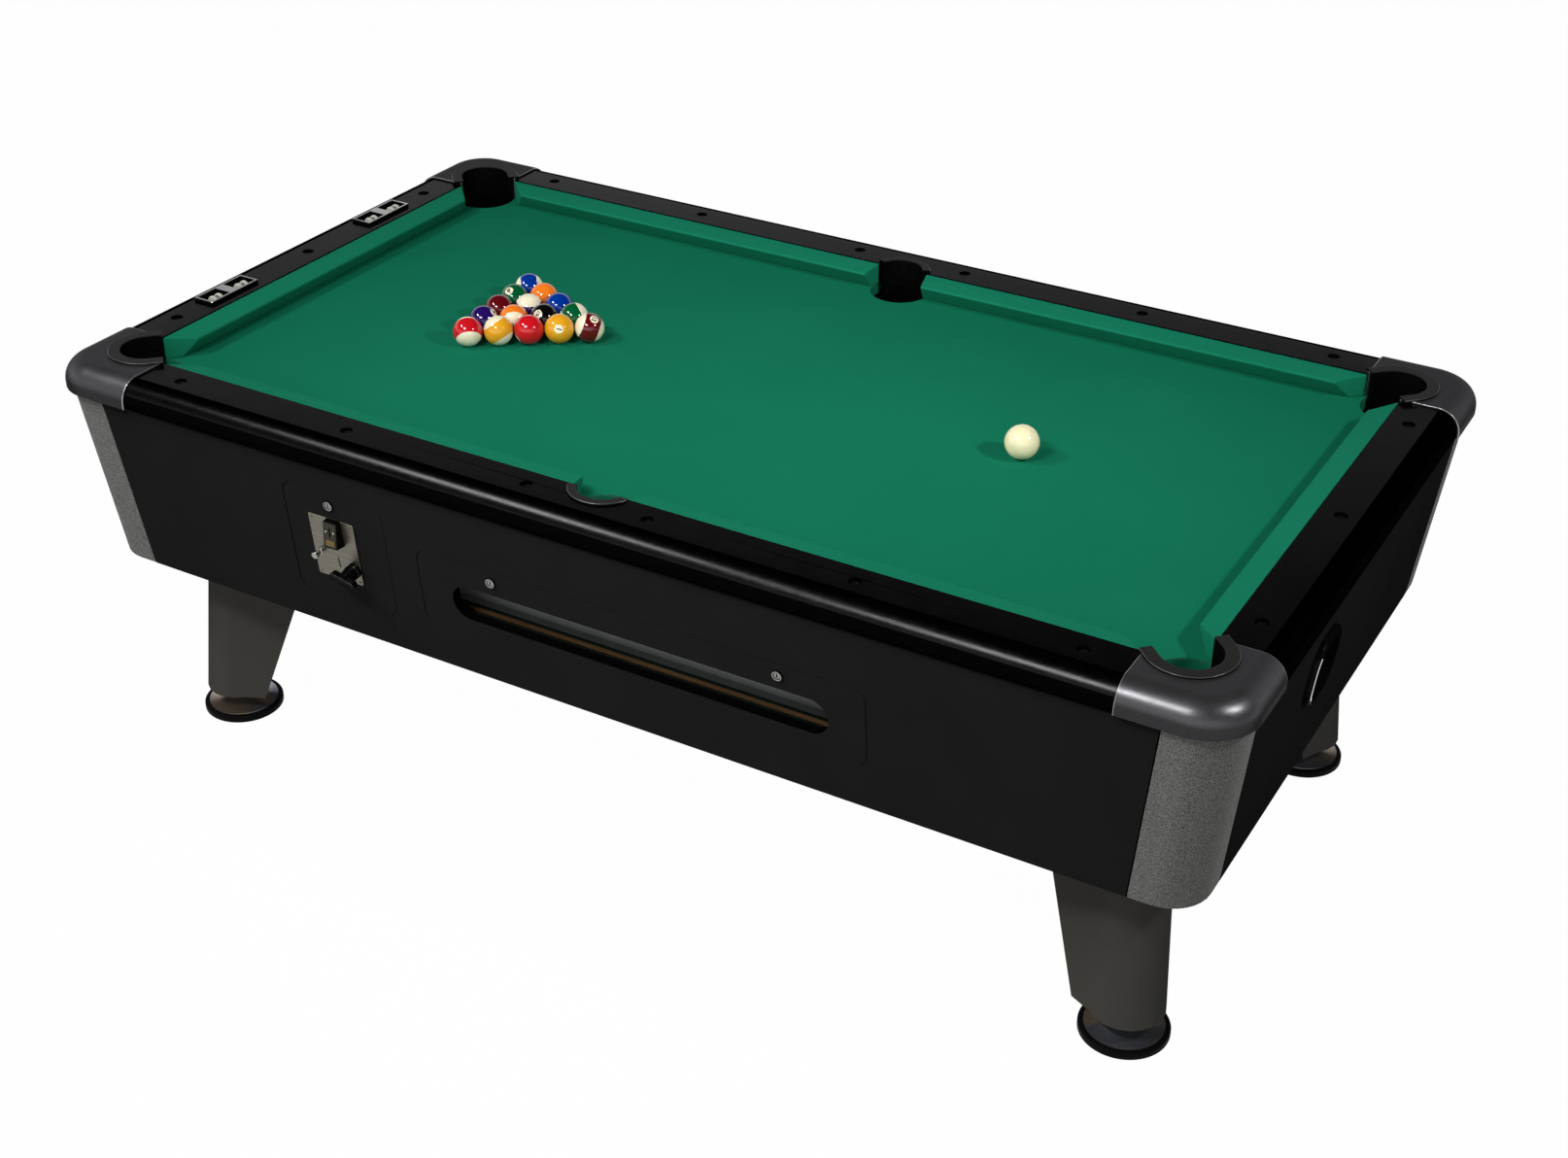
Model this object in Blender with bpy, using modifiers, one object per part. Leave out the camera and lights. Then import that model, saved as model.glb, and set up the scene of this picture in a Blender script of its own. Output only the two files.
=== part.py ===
"""Coin-operated pool table, modelled as an assembly of separate pieces.

Units are metres and +Z is up. The floor is at Z = 0 under the middle of the table.
+X runs along the table towards the cue ball return, and -Y is the side with the coin door.
"""
import math

import bmesh
import bpy
from mathutils import Matrix, Vector

# Clearance between pieces that touch on the real table, and how far a cutter runs past what it cuts
GAP = 0.0003
CUT_MARGIN = 0.05

# Playing surface, from cushion nose to cushion nose
PLAY_LENGTH = 1.936
PLAY_WIDTH = 0.974
RAIL_TOP = 0.775
BED_DROP = 0.0435
CLOTH_THICKNESS = 0.0012
SLATE_THICKNESS = 0.022
SLATE_UNDER_RAIL = 0.070

# Rails, with a flat top and a rounded outer edge
RAIL_FLAT = 0.068
BULLNOSE_RADIUS = 0.037
RAIL_HEIGHT = 0.049
RAIL_LOWER_CHAMFER = 0.005
BOLT_INSET = 0.039
BOLT_SPACING = 0.3695
SIDE_BOLT_OFFSET = 0.1157
COUNTERBORE_RADIUS = 0.011
COUNTERBORE_DEPTH = 0.008

# Cushions
CUSHION_DEPTH = 0.043
CUSHION_TOP_STEP = 0.0015
NOSE_DROP = 0.0083
NOSE_RADIUS = 0.004
CUSHION_UNDERCUT = 0.022
CORNER_CUT_ANGLE = math.radians(47)
SIDE_CUT_ANGLE = math.radians(12)
SIDE_MOUTH = 0.122

# Corner castings
CASTING_REACH = 0.189
CASTING_PROUD = 0.004
CASTING_CORNER_RADIUS = 0.088
CASTING_LIFT = 0.002

# Pocket liners
CORNER_POCKET_SHIFT_X = 0.024
CORNER_POCKET_SHIFT_Y = 0.019
CORNER_POCKET_RADIUS = 0.048
CORNER_LIP_WIDTH = 0.022
CORNER_ARM = 0.026
SIDE_POCKET_SHIFT = 0.021
SIDE_POCKET_RADIUS = 0.044
SIDE_LIP_WIDTH = 0.016
SIDE_HALF_ANGLE = math.radians(69)
LINER_WALL = 0.0035
LIP_HEIGHT = 0.0035
DROP_TUBE_WALL = 0.007
DROP_TUBE_DEPTH = 0.037
BED_NOTCH_CLEARANCE = 0.012
POCKET_STEPS = 14

# Cabinet
PANEL_INSET = 0.010
PANEL_TAPER = 0.035
PANEL_BOTTOM = 0.385
PANEL_THICKNESS = 0.019
TRIM_WIDTH = 0.106
TRIM_CORNER_RADIUS = 0.070
CLEAT_WIDTH = 0.030
CLEAT_HEIGHT = 0.022
CLEAT_BITE = 0.006
FLOOR_THICKNESS = 0.012
FLOOR_LIFT = 0.004

# Legs and levelling feet
FOOT_INSET_X = 0.135
FOOT_INSET_Y = 0.1455
LEG_BOTTOM = 0.052
LEG_RADIUS = 0.065
LEG_LEAN = 0.041
LEG_BACK_TOP = 0.1255
LEG_BACK_BOTTOM = 0.0406
LEG_WING_ANGLE = math.radians(19.5)
LEG_WALL = 0.004
LEG_PLATE = 0.006
STEM_RADIUS = 0.0115
STEM_BOSS = 0.006
STEM_LENGTH = 0.060
STEM_CLEARANCE = 0.0004
STEM_BORE_DEPTH = 0.070
FOOT_RADIUS = 0.076
FOOT_RIM_HEIGHT = 0.011
FOOT_HUB_RADIUS = 0.022
FOOT_CONE_TOP = 0.034

# Doors in the near panel: places along it (u), and centres as a share of its slope's length
DOOR_GAP = 0.0012
DOOR_CORNER_RADIUS = 0.022
COIN_DOOR_U = -0.492
COIN_DOOR_RISE = 0.5197
COIN_DOOR_WIDTH = 0.212
COIN_DOOR_HEIGHT = 0.225
BALL_DOOR_U = 0.105
BALL_DOOR_RISE = 0.4613
BALL_DOOR_WIDTH = 0.850
BALL_DOOR_HEIGHT = 0.150
BALL_SLOT_DROP = 0.0077
BALL_SLOT_MARGIN = 0.0655
BALL_SLOT_HEIGHT = 0.0674
LOCK_HEAD_RADIUS = 0.0098
LOCK_HEAD_HEIGHT = 0.004
LOCK_BARREL_RADIUS = 0.008
LOCK_CAM_LENGTH = 0.032
LOCK_CAM_WIDTH = 0.010
LOCK_CAM_THICKNESS = 0.003
COIN_LOCK_DROP = 0.0241
COIN_LOCK_SHIFT = -0.006
BALL_LOCK_DROP = 0.0212
BALL_LOCK_INSET = 0.1525

# Coin mechanism on the coin door, measured from the plate's centre
PLATE_WIDTH = 0.097
PLATE_HEIGHT = 0.126
PLATE_THICKNESS = 0.003
PLATE_SHIFT_U = -0.0065
PLATE_SHIFT_V = -0.0006
ENTRY_U = 0.008
ENTRY_V = 0.037
ENTRY_WIDTH = 0.028
ENTRY_HEIGHT = 0.048
ENTRY_TOP_DEPTH = 0.011
ENTRY_BOTTOM_DEPTH = 0.022
COIN_SLOT_WIDTH = 0.0032
COIN_SLOT_HEIGHT = 0.025
COIN_SLOT_DEPTH = 0.008
BUTTON_U = -0.0275
BUTTON_V = -0.006
BUTTON_RADIUS = 0.0065
BUTTON_STEM_RADIUS = 0.0045
BUTTON_LENGTH = 0.026
BUTTON_TRAVEL = 0.008
HANDLE_U = 0.0365
HANDLE_V = -0.032
HANDLE_HUB_RADIUS = 0.014
HANDLE_LENGTH = 0.040
HANDLE_BAR_LENGTH = 0.052
HANDLE_BAR_WIDTH = 0.015
HANDLE_TILT = math.radians(-12)
HANDLE_SHAFT_RADIUS = 0.005
SHAFT_CLEARANCE = 0.0004
MECH_WIDTH = 0.090
MECH_HEIGHT = 0.112
MECH_DEPTH = 0.044

# Ball return inside the cabinet
TRAY_BACK_DEPTH = 0.082
TRAY_DROP = 0.018
TRAY_WALL = 0.008
TRAY_BACK_CLEARANCE = 0.003
TRAY_END_CLEARANCE = 0.010
TRAY_END_RISE = 0.020
TRAY_JOINT = 0.001
RUNWAY_THICKNESS = 0.008
RUNWAY_DROP = 0.068
RUNWAY_FALL = 0.044
RUNWAY_LIP = 0.024
RUNWAY_MARGIN = 0.010
RUNWAY_BEARER_X = 0.75
RUNWAY_BEARER_WIDTH = 0.018
RUNWAY_BITE = 0.004
GATE_LENGTH = 0.044
GATE_THICKNESS = 0.004
GATE_TILT = math.radians(36)
GATE_PIN_RADIUS = 0.003
GATE_RUNWAY_GAP = 0.0015
CASH_BOX_LENGTH = 0.190
CASH_BOX_WIDTH = 0.140
CASH_BOX_HEIGHT = 0.060
CASH_BOX_WALL = 0.002

# Cue ball return in the right end panel
RETURN_U = -0.175
RETURN_RISE = 0.6604
RETURN_WIDTH = 0.100
RETURN_HEIGHT = 0.104
RETURN_CORNER_RADIUS = 0.036
RETURN_DEPTH = 0.100
RETURN_WALL = 0.004
RETURN_FLANGE = 0.010
RETURN_FLANGE_THICKNESS = 0.012
RETURN_BALL_HOLE_RADIUS = 0.036
RETURN_RUNWAY_ROOM = 0.062

# Score counters on the left end rail
COUNTER_Y = 0.231
COUNTER_INSET = 0.042
COUNTER_LENGTH = 0.128
COUNTER_WIDTH = 0.046
COUNTER_FRAME_HEIGHT = 0.006
COUNTER_FRAME_WALL = 0.005
COUNTER_BRIDGE = 0.022
COUNTER_DEPTH = 0.024
WHEEL_RADIUS = 0.011
WHEEL_HUB_RADIUS = 0.008
WHEEL_DISC = 0.006
WHEEL_HUB_LENGTH = 0.010
WHEEL_AXLE_RADIUS = 0.0022
WHEEL_SHIFT = 0.005
WHEEL_DROP = 0.004

# Levels and outlines that follow from the sizes above
LINE_X = PLAY_LENGTH / 2 + CUSHION_DEPTH
LINE_Y = PLAY_WIDTH / 2 + CUSHION_DEPTH
RAIL_REACH = RAIL_FLAT + BULLNOSE_RADIUS
RAIL_BOTTOM = RAIL_TOP - RAIL_HEIGHT
CLOTH_TOP = RAIL_TOP - BED_DROP
CLOTH_BOTTOM = CLOTH_TOP - CLOTH_THICKNESS
SLATE_TOP = CLOTH_BOTTOM - GAP
SLATE_BOTTOM = SLATE_TOP - SLATE_THICKNESS
SLATE_X = LINE_X + SLATE_UNDER_RAIL
SLATE_Y = LINE_Y + SLATE_UNDER_RAIL
CASTING_X = LINE_X + RAIL_REACH + CASTING_PROUD
CASTING_Y = LINE_Y + RAIL_REACH + CASTING_PROUD
CASTING_TOP = RAIL_TOP + CASTING_PROUD
JOINT_X = CASTING_X - CASTING_REACH
JOINT_Y = CASTING_Y - CASTING_REACH
POCKET_X = PLAY_LENGTH / 2 + CORNER_POCKET_SHIFT_X
POCKET_Y = PLAY_WIDTH / 2 + CORNER_POCKET_SHIFT_Y
SIDE_POCKET_Y = PLAY_WIDTH / 2 + SIDE_POCKET_SHIFT
PANEL_TOP = RAIL_BOTTOM - GAP
CABINET_X = LINE_X + RAIL_REACH - PANEL_INSET - PANEL_TAPER
CABINET_Y = LINE_Y + RAIL_REACH - PANEL_INSET - PANEL_TAPER
FOOT_X = CABINET_X - FOOT_INSET_X
FOOT_Y = CABINET_Y - FOOT_INSET_Y
PANEL_RISE = PANEL_TOP - PANEL_BOTTOM
PANEL_ANGLE = math.atan2(PANEL_TAPER, PANEL_RISE)
PANEL_DEPTH = PANEL_THICKNESS * math.cos(PANEL_ANGLE)
PANEL_SLOPE = math.hypot(PANEL_RISE, PANEL_TAPER)
COIN_DOOR_V = COIN_DOOR_RISE * PANEL_SLOPE
BALL_DOOR_V = BALL_DOOR_RISE * PANEL_SLOPE
BALL_SLOT_V = BALL_DOOR_V - BALL_SLOT_DROP
BALL_SLOT_LENGTH = BALL_DOOR_WIDTH - 2 * BALL_SLOT_MARGIN
RETURN_V = RETURN_RISE * PANEL_SLOPE
RUNWAY_FAR_TOP = SLATE_BOTTOM - RUNWAY_DROP
RUNWAY_NEAR_TOP = RUNWAY_FAR_TOP - RUNWAY_FALL
SLOT_LOW_EDGE = PANEL_BOTTOM + (BALL_SLOT_V - BALL_SLOT_HEIGHT / 2) * math.cos(PANEL_ANGLE)
TRAY_FLOOR = SLOT_LOW_EDGE - TRAY_DROP
TRAY_BACK_TOP = RUNWAY_NEAR_TOP - RUNWAY_THICKNESS - TRAY_BACK_CLEARANCE
FLOOR_BOTTOM = PANEL_BOTTOM + FLOOR_LIFT
FLOOR_TOP = FLOOR_BOTTOM + FLOOR_THICKNESS
LEG_TOP = FLOOR_BOTTOM - GAP

SIDES = {"near": -90, "far": 90, "left": 180, "right": 0}
CORNERS = {"front_left": (-1, -1), "front_right": (1, -1), "back_right": (1, 1), "back_left": (-1, 1)}


def clear_scene():
    for item in list(bpy.data.objects):
        bpy.data.objects.remove(item, do_unlink=True)


def new_collection(name):
    collection = bpy.data.collections.new(name)
    bpy.context.scene.collection.children.link(collection)
    return collection


def new_material(name, colour, roughness, metallic=0.0):
    material = bpy.data.materials.new(name)
    material.use_nodes = True
    shader = material.node_tree.nodes["Principled BSDF"]
    shader.inputs["Base Color"].default_value = (*colour, 1.0)
    shader.inputs["Roughness"].default_value = roughness
    shader.inputs["Metallic"].default_value = metallic
    return material


clear_scene()
PARTS = new_collection("coin_operated_pool_table")
CUTTERS = new_collection("cutters")

BLACK_LAMINATE = new_material("black_laminate", (0.012, 0.012, 0.013), 0.55)
BLACK_RAIL = new_material("black_rail", (0.010, 0.010, 0.011), 0.30)
GUNMETAL = new_material("gunmetal_casting", (0.09, 0.09, 0.10), 0.35, 0.9)
HAMMERED_GREY = new_material("hammered_grey_trim", (0.15, 0.15, 0.15), 0.45, 0.6)
LEG_GREY = new_material("leg_grey", (0.06, 0.06, 0.055), 0.4, 0.4)
GREEN_CLOTH = new_material("green_cloth", (0.008, 0.16, 0.085), 0.95)
BLACK_RUBBER = new_material("black_rubber", (0.008, 0.008, 0.008), 0.5)
SLATE_STONE = new_material("slate_stone", (0.12, 0.12, 0.13), 0.7)
CHROME = new_material("chrome", (0.75, 0.75, 0.76), 0.12, 1.0)
STEEL = new_material("brushed_steel", (0.55, 0.54, 0.50), 0.35, 1.0)
PLYWOOD = new_material("plywood", (0.38, 0.22, 0.10), 0.65)
WHITE_PLASTIC = new_material("white_plastic", (0.8, 0.8, 0.76), 0.4)


def shade(mesh):
    mesh.shade_smooth()
    mesh.set_sharp_from_angle(angle=math.radians(32))


def new_object(name, bm, collection, frame, pivot):
    """A mesh object placed by its frame, with its origin at the pivot in that frame."""
    bmesh.ops.recalc_face_normals(bm, faces=bm.faces)
    bm.transform(Matrix.Translation(-Vector(pivot)))
    mesh = bpy.data.meshes.new(name)
    bm.to_mesh(mesh)
    bm.free()
    shade(mesh)
    item = bpy.data.objects.new(name, mesh)
    collection.objects.link(item)
    item.matrix_world = frame @ Matrix.Translation(pivot)
    return item


def add_part(name, bm, material, frame=Matrix(), pivot=(0, 0, 0), parent=None):
    part = new_object(name, bm, PARTS, frame, pivot)
    part.data.materials.append(material)
    if parent:
        part.parent = parent
        part.matrix_parent_inverse = parent.matrix_world.inverted()
    return part


def combine(part, bm, operation, frame):
    """Cut from a part, or join to it, the shape in bm."""
    cutter = new_object(part.name + "_tool", bm, CUTTERS, frame, (0, 0, 0))
    cutter.hide_render = True
    cutter.display_type = "WIRE"
    modifier = part.modifiers.new(operation.lower(), "BOOLEAN")
    modifier.operation = operation
    modifier.solver = "EXACT"
    modifier.object = cutter


def cut(part, bm, frame=Matrix()):
    combine(part, bm, "DIFFERENCE", frame)


def join(part, bm, frame=Matrix()):
    combine(part, bm, "UNION", frame)


def add_pivot(name, frame, place, parent=None):
    """An empty on a joint's axis, which carries the pieces of a moving body."""
    pivot = bpy.data.objects.new(name, None)
    pivot.empty_display_size = 0.03
    PARTS.objects.link(pivot)
    pivot.matrix_world = frame @ Matrix.Translation(place)
    if parent:
        pivot.parent = parent
        pivot.matrix_parent_inverse = parent.matrix_world.inverted()
    return pivot


def arc(centre, radius, start, end, steps):
    """Points on an arc, from angle start to angle end in degrees."""
    points = []
    for step in range(steps + 1):
        angle = math.radians(start + (end - start) * step / steps)
        points.append((centre[0] + radius * math.cos(angle), centre[1] + radius * math.sin(angle)))
    return points


def rounded_rectangle(width, height, radius, centre=(0, 0), steps=5):
    across = width / 2 - radius
    up = height / 2 - radius
    points = []
    for index, (sign_x, sign_y) in enumerate(((1, 1), (-1, 1), (-1, -1), (1, -1))):
        corner = (centre[0] + sign_x * across, centre[1] + sign_y * up)
        points += arc(corner, radius, 90 * index, 90 * index + 90, steps)
    return points


def extrude_face(bm, points, shift):
    """A face through the points, extruded by the shift. Returns the far cap's vertices in order."""
    verts = [bm.verts.new(point) for point in points]
    face = bm.faces.new(verts)
    grown = bmesh.ops.extrude_face_region(bm, geom=[face])["geom"]
    cap = [item for item in grown if isinstance(item, bmesh.types.BMVert)]
    bmesh.ops.translate(bm, verts=cap, vec=shift)
    return cap


def prism(outline, low, high):
    bm = bmesh.new()
    extrude_face(bm, [(x, y, low) for x, y in outline], (0, 0, high - low))
    return bm


def box(low, high):
    bm = bmesh.new()
    bmesh.ops.create_cube(bm, size=1.0)
    size = Vector(high) - Vector(low)
    middle = (Vector(high) + Vector(low)) / 2
    bmesh.ops.scale(bm, vec=size, verts=bm.verts)
    bmesh.ops.translate(bm, vec=middle, verts=bm.verts)
    return bm


def cylinder(radius, low, high, centre=(0, 0), segments=20):
    bm = bmesh.new()
    bmesh.ops.create_cone(
        bm, cap_ends=True, segments=segments, radius1=radius, radius2=radius, depth=high - low
    )
    bmesh.ops.translate(bm, vec=(centre[0], centre[1], (low + high) / 2), verts=bm.verts)
    return bm


def turned(name, profile, material, frame=Matrix(), parent=None, steps=24):
    """A turned piece: the profile runs from the top of the axis down its outer side."""
    bm = bmesh.new()
    verts = [bm.verts.new((radius, 0, height)) for radius, height in profile]
    for first, second in zip(verts, verts[1:]):
        bm.edges.new((first, second))
    part = add_part(name, bm, material, frame, (0, 0, 0), parent)
    screw = part.modifiers.new("turn", "SCREW")
    screw.steps = steps
    screw.render_steps = steps
    screw.use_merge_vertices = True
    screw.merge_threshold = 0.0001
    return part


def flared(outline, low, high):
    """A prism whose top has moved outward on both plan axes by the cabinet's taper."""
    bm = bmesh.new()
    rise = (high - low) / PANEL_RISE
    cap = extrude_face(bm, [(x, y, low) for x, y in outline], (0, 0, high - low))
    for vert in cap:
        vert.co.x += math.copysign(PANEL_TAPER * rise, vert.co.x)
        vert.co.y += math.copysign(PANEL_TAPER * rise, vert.co.y)
    return bm


def bevel_edges(bm, chosen, width, segments):
    edges = [edge for edge in bm.edges if chosen(edge)]
    bmesh.ops.bevel(
        bm, geom=edges, offset=width, segments=segments, profile=0.5, affect="EDGES", clamp_overlap=True
    )


def side_frame(side):
    """Frame whose +X points out through a side of the table and whose +Y runs along that side."""
    return Matrix.Rotation(math.radians(SIDES[side]), 4, "Z")


def side_line(side):
    return LINE_Y if side in ("near", "far") else LINE_X


def near_panel_frame():
    """Frame on the near panel's outer face: +X along it, +Y up its slope and +Z straight out."""
    origin = Matrix.Translation((0, -CABINET_Y, PANEL_BOTTOM))
    return origin @ Matrix.Rotation(math.pi / 2 + PANEL_ANGLE, 4, "X")


def right_panel_frame():
    """Frame on the right end panel's outer face, laid out as the near panel's."""
    origin = Matrix.Translation((CABINET_X, 0, PANEL_BOTTOM))
    turn = Matrix.Rotation(math.pi / 2, 4, "Z")
    return origin @ turn @ Matrix.Rotation(math.pi / 2 + PANEL_ANGLE, 4, "X")


NEAR_PANEL = near_panel_frame()
RIGHT_PANEL = right_panel_frame()


def pocket_frames():
    """Frame of each pocket: its origin over the drop, with +X pointing out of the table."""
    frames = {}
    for name, (sign_x, sign_y) in CORNERS.items():
        angle = math.atan2(sign_y, sign_x)
        place = Matrix.Translation((sign_x * POCKET_X, sign_y * POCKET_Y, 0))
        frames[name] = place @ Matrix.Rotation(angle, 4, "Z")
    for name, sign in (("near_side", -1), ("far_side", 1)):
        place = Matrix.Translation((0, sign * SIDE_POCKET_Y, 0))
        frames[name] = place @ Matrix.Rotation(sign * math.pi / 2, 4, "Z")
    return frames


POCKETS = pocket_frames()


def is_side_pocket(name):
    return name.endswith("side")


def pocket_radius(name):
    return SIDE_POCKET_RADIUS if is_side_pocket(name) else CORNER_POCKET_RADIUS


def u_notch(radius, low, high, reach, towards):
    """A round-ended cutter: the round end at the origin, its straight sides running towards +X or -X."""
    end = towards * reach
    start = 90 if towards > 0 else -90
    outline = arc((0, 0), radius, start, start + 180, POCKET_STEPS)
    outline += [(end, -towards * radius), (end, towards * radius)]
    return prism(outline, low, high)


def make_rail(side):
    """Rail with a flat top, a rounded outer edge and a step that seats on the bed."""
    line = side_line(side)
    seat = CLOTH_TOP + GAP
    step = SLATE_UNDER_RAIL + 0.0015
    nose = arc((RAIL_FLAT, RAIL_TOP - BULLNOSE_RADIUS), BULLNOSE_RADIUS, 90, 0, 10)
    profile = [(0, seat), (0, RAIL_TOP)] + nose
    profile += [(RAIL_REACH, RAIL_BOTTOM + RAIL_LOWER_CHAMFER)]
    profile += [(RAIL_REACH - RAIL_LOWER_CHAMFER, RAIL_BOTTOM), (step, RAIL_BOTTOM), (step, seat)]
    half = (JOINT_X if side in ("near", "far") else JOINT_Y) - GAP
    bm = bmesh.new()
    extrude_face(bm, [(line + out, -half, height) for out, height in profile], (0, 2 * half, 0))
    frame = side_frame(side)
    rail = add_part(side + "_rail", bm, BLACK_RAIL, frame)
    if side in ("near", "far"):
        distances = [SIDE_BOLT_OFFSET + BOLT_SPACING * index for index in range(3)]
        places = [sign * distance for distance in distances for sign in (-1, 1)]
        radius = SIDE_POCKET_RADIUS + LINER_WALL + GAP
        mouth = u_notch(radius, RAIL_BOTTOM - CUT_MARGIN, RAIL_TOP + CUT_MARGIN, RAIL_REACH, -1)
        cut(rail, mouth, POCKETS[side + "_side"])
    else:
        places = [-BOLT_SPACING, 0, BOLT_SPACING]
    for place in places:
        centre = (line + BOLT_INSET, place)
        bore = cylinder(COUNTERBORE_RADIUS, RAIL_TOP - COUNTERBORE_DEPTH, RAIL_TOP + CUT_MARGIN, centre, 14)
        cut(rail, bore, frame)
    return rail


def make_cushion(name, side, start, start_cut, end, end_cut):
    """Cushion along a rail, its ends cut on the slant where it faces a pocket."""
    line = side_line(side) - GAP
    floor = CLOTH_TOP + GAP
    top = RAIL_TOP - CUSHION_TOP_STEP
    nose = RAIL_TOP - NOSE_DROP
    tip = arc((-CUSHION_DEPTH + NOSE_RADIUS, nose - NOSE_RADIUS), NOSE_RADIUS, 100, 200, 4)
    profile = [(0, floor), (0, top)] + tip + [(-CUSHION_DEPTH + CUSHION_UNDERCUT, floor)]
    bm = bmesh.new()
    first = [(line + out, start - out * math.tan(start_cut), height) for out, height in profile]
    cap = extrude_face(bm, first, (0, end - start, 0))
    for vert in cap:
        out = vert.co.x - line
        vert.co.y = end + out * math.tan(end_cut)
    return add_part(name, bm, GREEN_CLOTH, side_frame(side))


def make_cushions():
    throat = SIDE_MOUTH / 2 - CUSHION_DEPTH * math.tan(SIDE_CUT_ANGLE)
    far_end = JOINT_X - GAP
    for side in ("near", "far"):
        halves = (("left", "right") if side == "near" else ("right", "left"))
        make_cushion(
            side + "_" + halves[0] + "_cushion", side, -far_end, CORNER_CUT_ANGLE, -throat, SIDE_CUT_ANGLE
        )
        make_cushion(
            side + "_" + halves[1] + "_cushion", side, throat, SIDE_CUT_ANGLE, far_end, CORNER_CUT_ANGLE
        )
    for side in ("left", "right"):
        end = JOINT_Y - GAP
        make_cushion(side + "_cushion", side, -end, CORNER_CUT_ANGLE, end, CORNER_CUT_ANGLE)


def make_casting(name, sign_x, sign_y):
    """Corner casting: a rounded cap over the rail ends with a U-shaped pocket cut-out."""
    radius = CASTING_CORNER_RADIUS
    outline = [(LINE_X, LINE_Y), (JOINT_X, LINE_Y), (JOINT_X, CASTING_Y)]
    outline += arc((CASTING_X - radius, CASTING_Y - radius), radius, 90, 0, 10)
    outline += [(CASTING_X, JOINT_Y), (LINE_X, JOINT_Y)]
    bottom = RAIL_BOTTOM + CASTING_LIFT
    bm = prism([(sign_x * x, sign_y * y) for x, y in outline], bottom, CASTING_TOP)

    def outer_top(edge):
        ends = [vert.co for vert in edge.verts]
        if min(end.z for end in ends) < CASTING_TOP - 0.001:
            return False
        middle = (ends[0] + ends[1]) / 2
        on_end = abs(middle.x) < JOINT_X + 0.001 or abs(middle.y) < JOINT_Y + 0.001
        inside = abs(middle.x) < LINE_X + 0.001 and abs(middle.y) < LINE_Y + 0.001
        return not on_end and not inside

    bevel_edges(bm, outer_top, BULLNOSE_RADIUS + CASTING_PROUD, 6)
    casting = add_part(name + "_casting", bm, GUNMETAL)
    margin = 0.0015
    room = (SLATE_X + margin, SLATE_Y + margin)
    slate_room = box((-room[0], -room[1], bottom - CUT_MARGIN), (room[0], room[1], CLOTH_TOP + GAP))
    cut(casting, slate_room)
    radius = CORNER_POCKET_RADIUS + LINER_WALL + GAP
    notch = u_notch(radius, bottom - CUT_MARGIN, CASTING_TOP + CUT_MARGIN, CASTING_REACH, -1)
    cut(casting, notch, POCKETS[name])


def make_liner(name):
    """Pocket liner: a horseshoe lip and wall, swept round the pocket, over a round drop tube."""
    side = is_side_pocket(name)
    radius = pocket_radius(name)
    lip_width = SIDE_LIP_WIDTH if side else CORNER_LIP_WIDTH
    seat = (RAIL_TOP if side else CASTING_TOP) + GAP
    wall_bottom = SLATE_BOTTOM - 0.012
    half_angle = SIDE_HALF_ANGLE if side else math.pi / 2
    top = seat + LIP_HEIGHT
    ease = LIP_HEIGHT / 2
    profile = [
        (radius, wall_bottom), (radius, top - ease), (radius + ease, top),
        (radius + lip_width - ease, top), (radius + lip_width, top - ease), (radius + lip_width, seat),
        (radius + LINER_WALL, seat), (radius + LINER_WALL, wall_bottom),
    ]
    bm = bmesh.new()
    turn = Matrix.Rotation(-half_angle, 3, "Z")
    verts = [bm.verts.new(turn @ Vector((out, 0, height))) for out, height in profile]
    first = bm.faces.new(verts)
    geometry = verts + list(first.edges) + [first]
    swept = bmesh.ops.spin(
        bm, geom=geometry, cent=(0, 0, 0), axis=(0, 0, 1), angle=2 * half_angle, steps=POCKET_STEPS
    )["geom_last"]
    last = next(item for item in swept if isinstance(item, bmesh.types.BMFace))
    if not side:
        for cap in (first, last):
            grown = bmesh.ops.extrude_face_region(bm, geom=[cap])["geom"]
            moved = [item for item in grown if isinstance(item, bmesh.types.BMVert)]
            bmesh.ops.translate(bm, verts=moved, vec=(-CORNER_ARM, 0, 0))
            bm.faces.remove(cap)
    liner = add_part(name + "_pocket_liner", bm, BLACK_RUBBER, POCKETS[name])
    tube_top = SLATE_BOTTOM - 0.003
    join(liner, drop_tube(radius, tube_top), POCKETS[name])


def drop_tube(radius, top):
    """The round tube under the bed that lets a ball fall onto the runway."""
    inner = radius + 0.0006
    bm = bmesh.new()
    profile = [(inner, top), (inner + DROP_TUBE_WALL, top), (inner + DROP_TUBE_WALL, top - DROP_TUBE_DEPTH),
               (inner, top - DROP_TUBE_DEPTH)]
    verts = [bm.verts.new((out, 0, height)) for out, height in profile]
    edges = [bm.edges.new((verts[index - 1], verts[index])) for index in range(4)]
    bmesh.ops.spin(
        bm, geom=verts + edges, cent=(0, 0, 0), axis=(0, 0, 1), angle=2 * math.pi, steps=18, use_merge=True
    )
    return bm


def make_bed():
    """Slate and cloth, with a notch at each pocket that is open to the edge."""
    layers = (
        ("slate_bed", SLATE_STONE, SLATE_BOTTOM, SLATE_TOP, 0.0),
        ("bed_cloth", GREEN_CLOTH, CLOTH_BOTTOM, CLOTH_TOP, 0.0005),
    )
    for name, material, low, high, trim in layers:
        across = SLATE_X - trim
        along = SLATE_Y - trim
        layer = add_part(name, box((-across, -along, low), (across, along, high)), material)
        for pocket, frame in POCKETS.items():
            radius = pocket_radius(pocket) + BED_NOTCH_CLEARANCE + trim
            cut(layer, u_notch(radius, low - CUT_MARGIN, high + CUT_MARGIN, CASTING_REACH, 1), frame)


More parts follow.
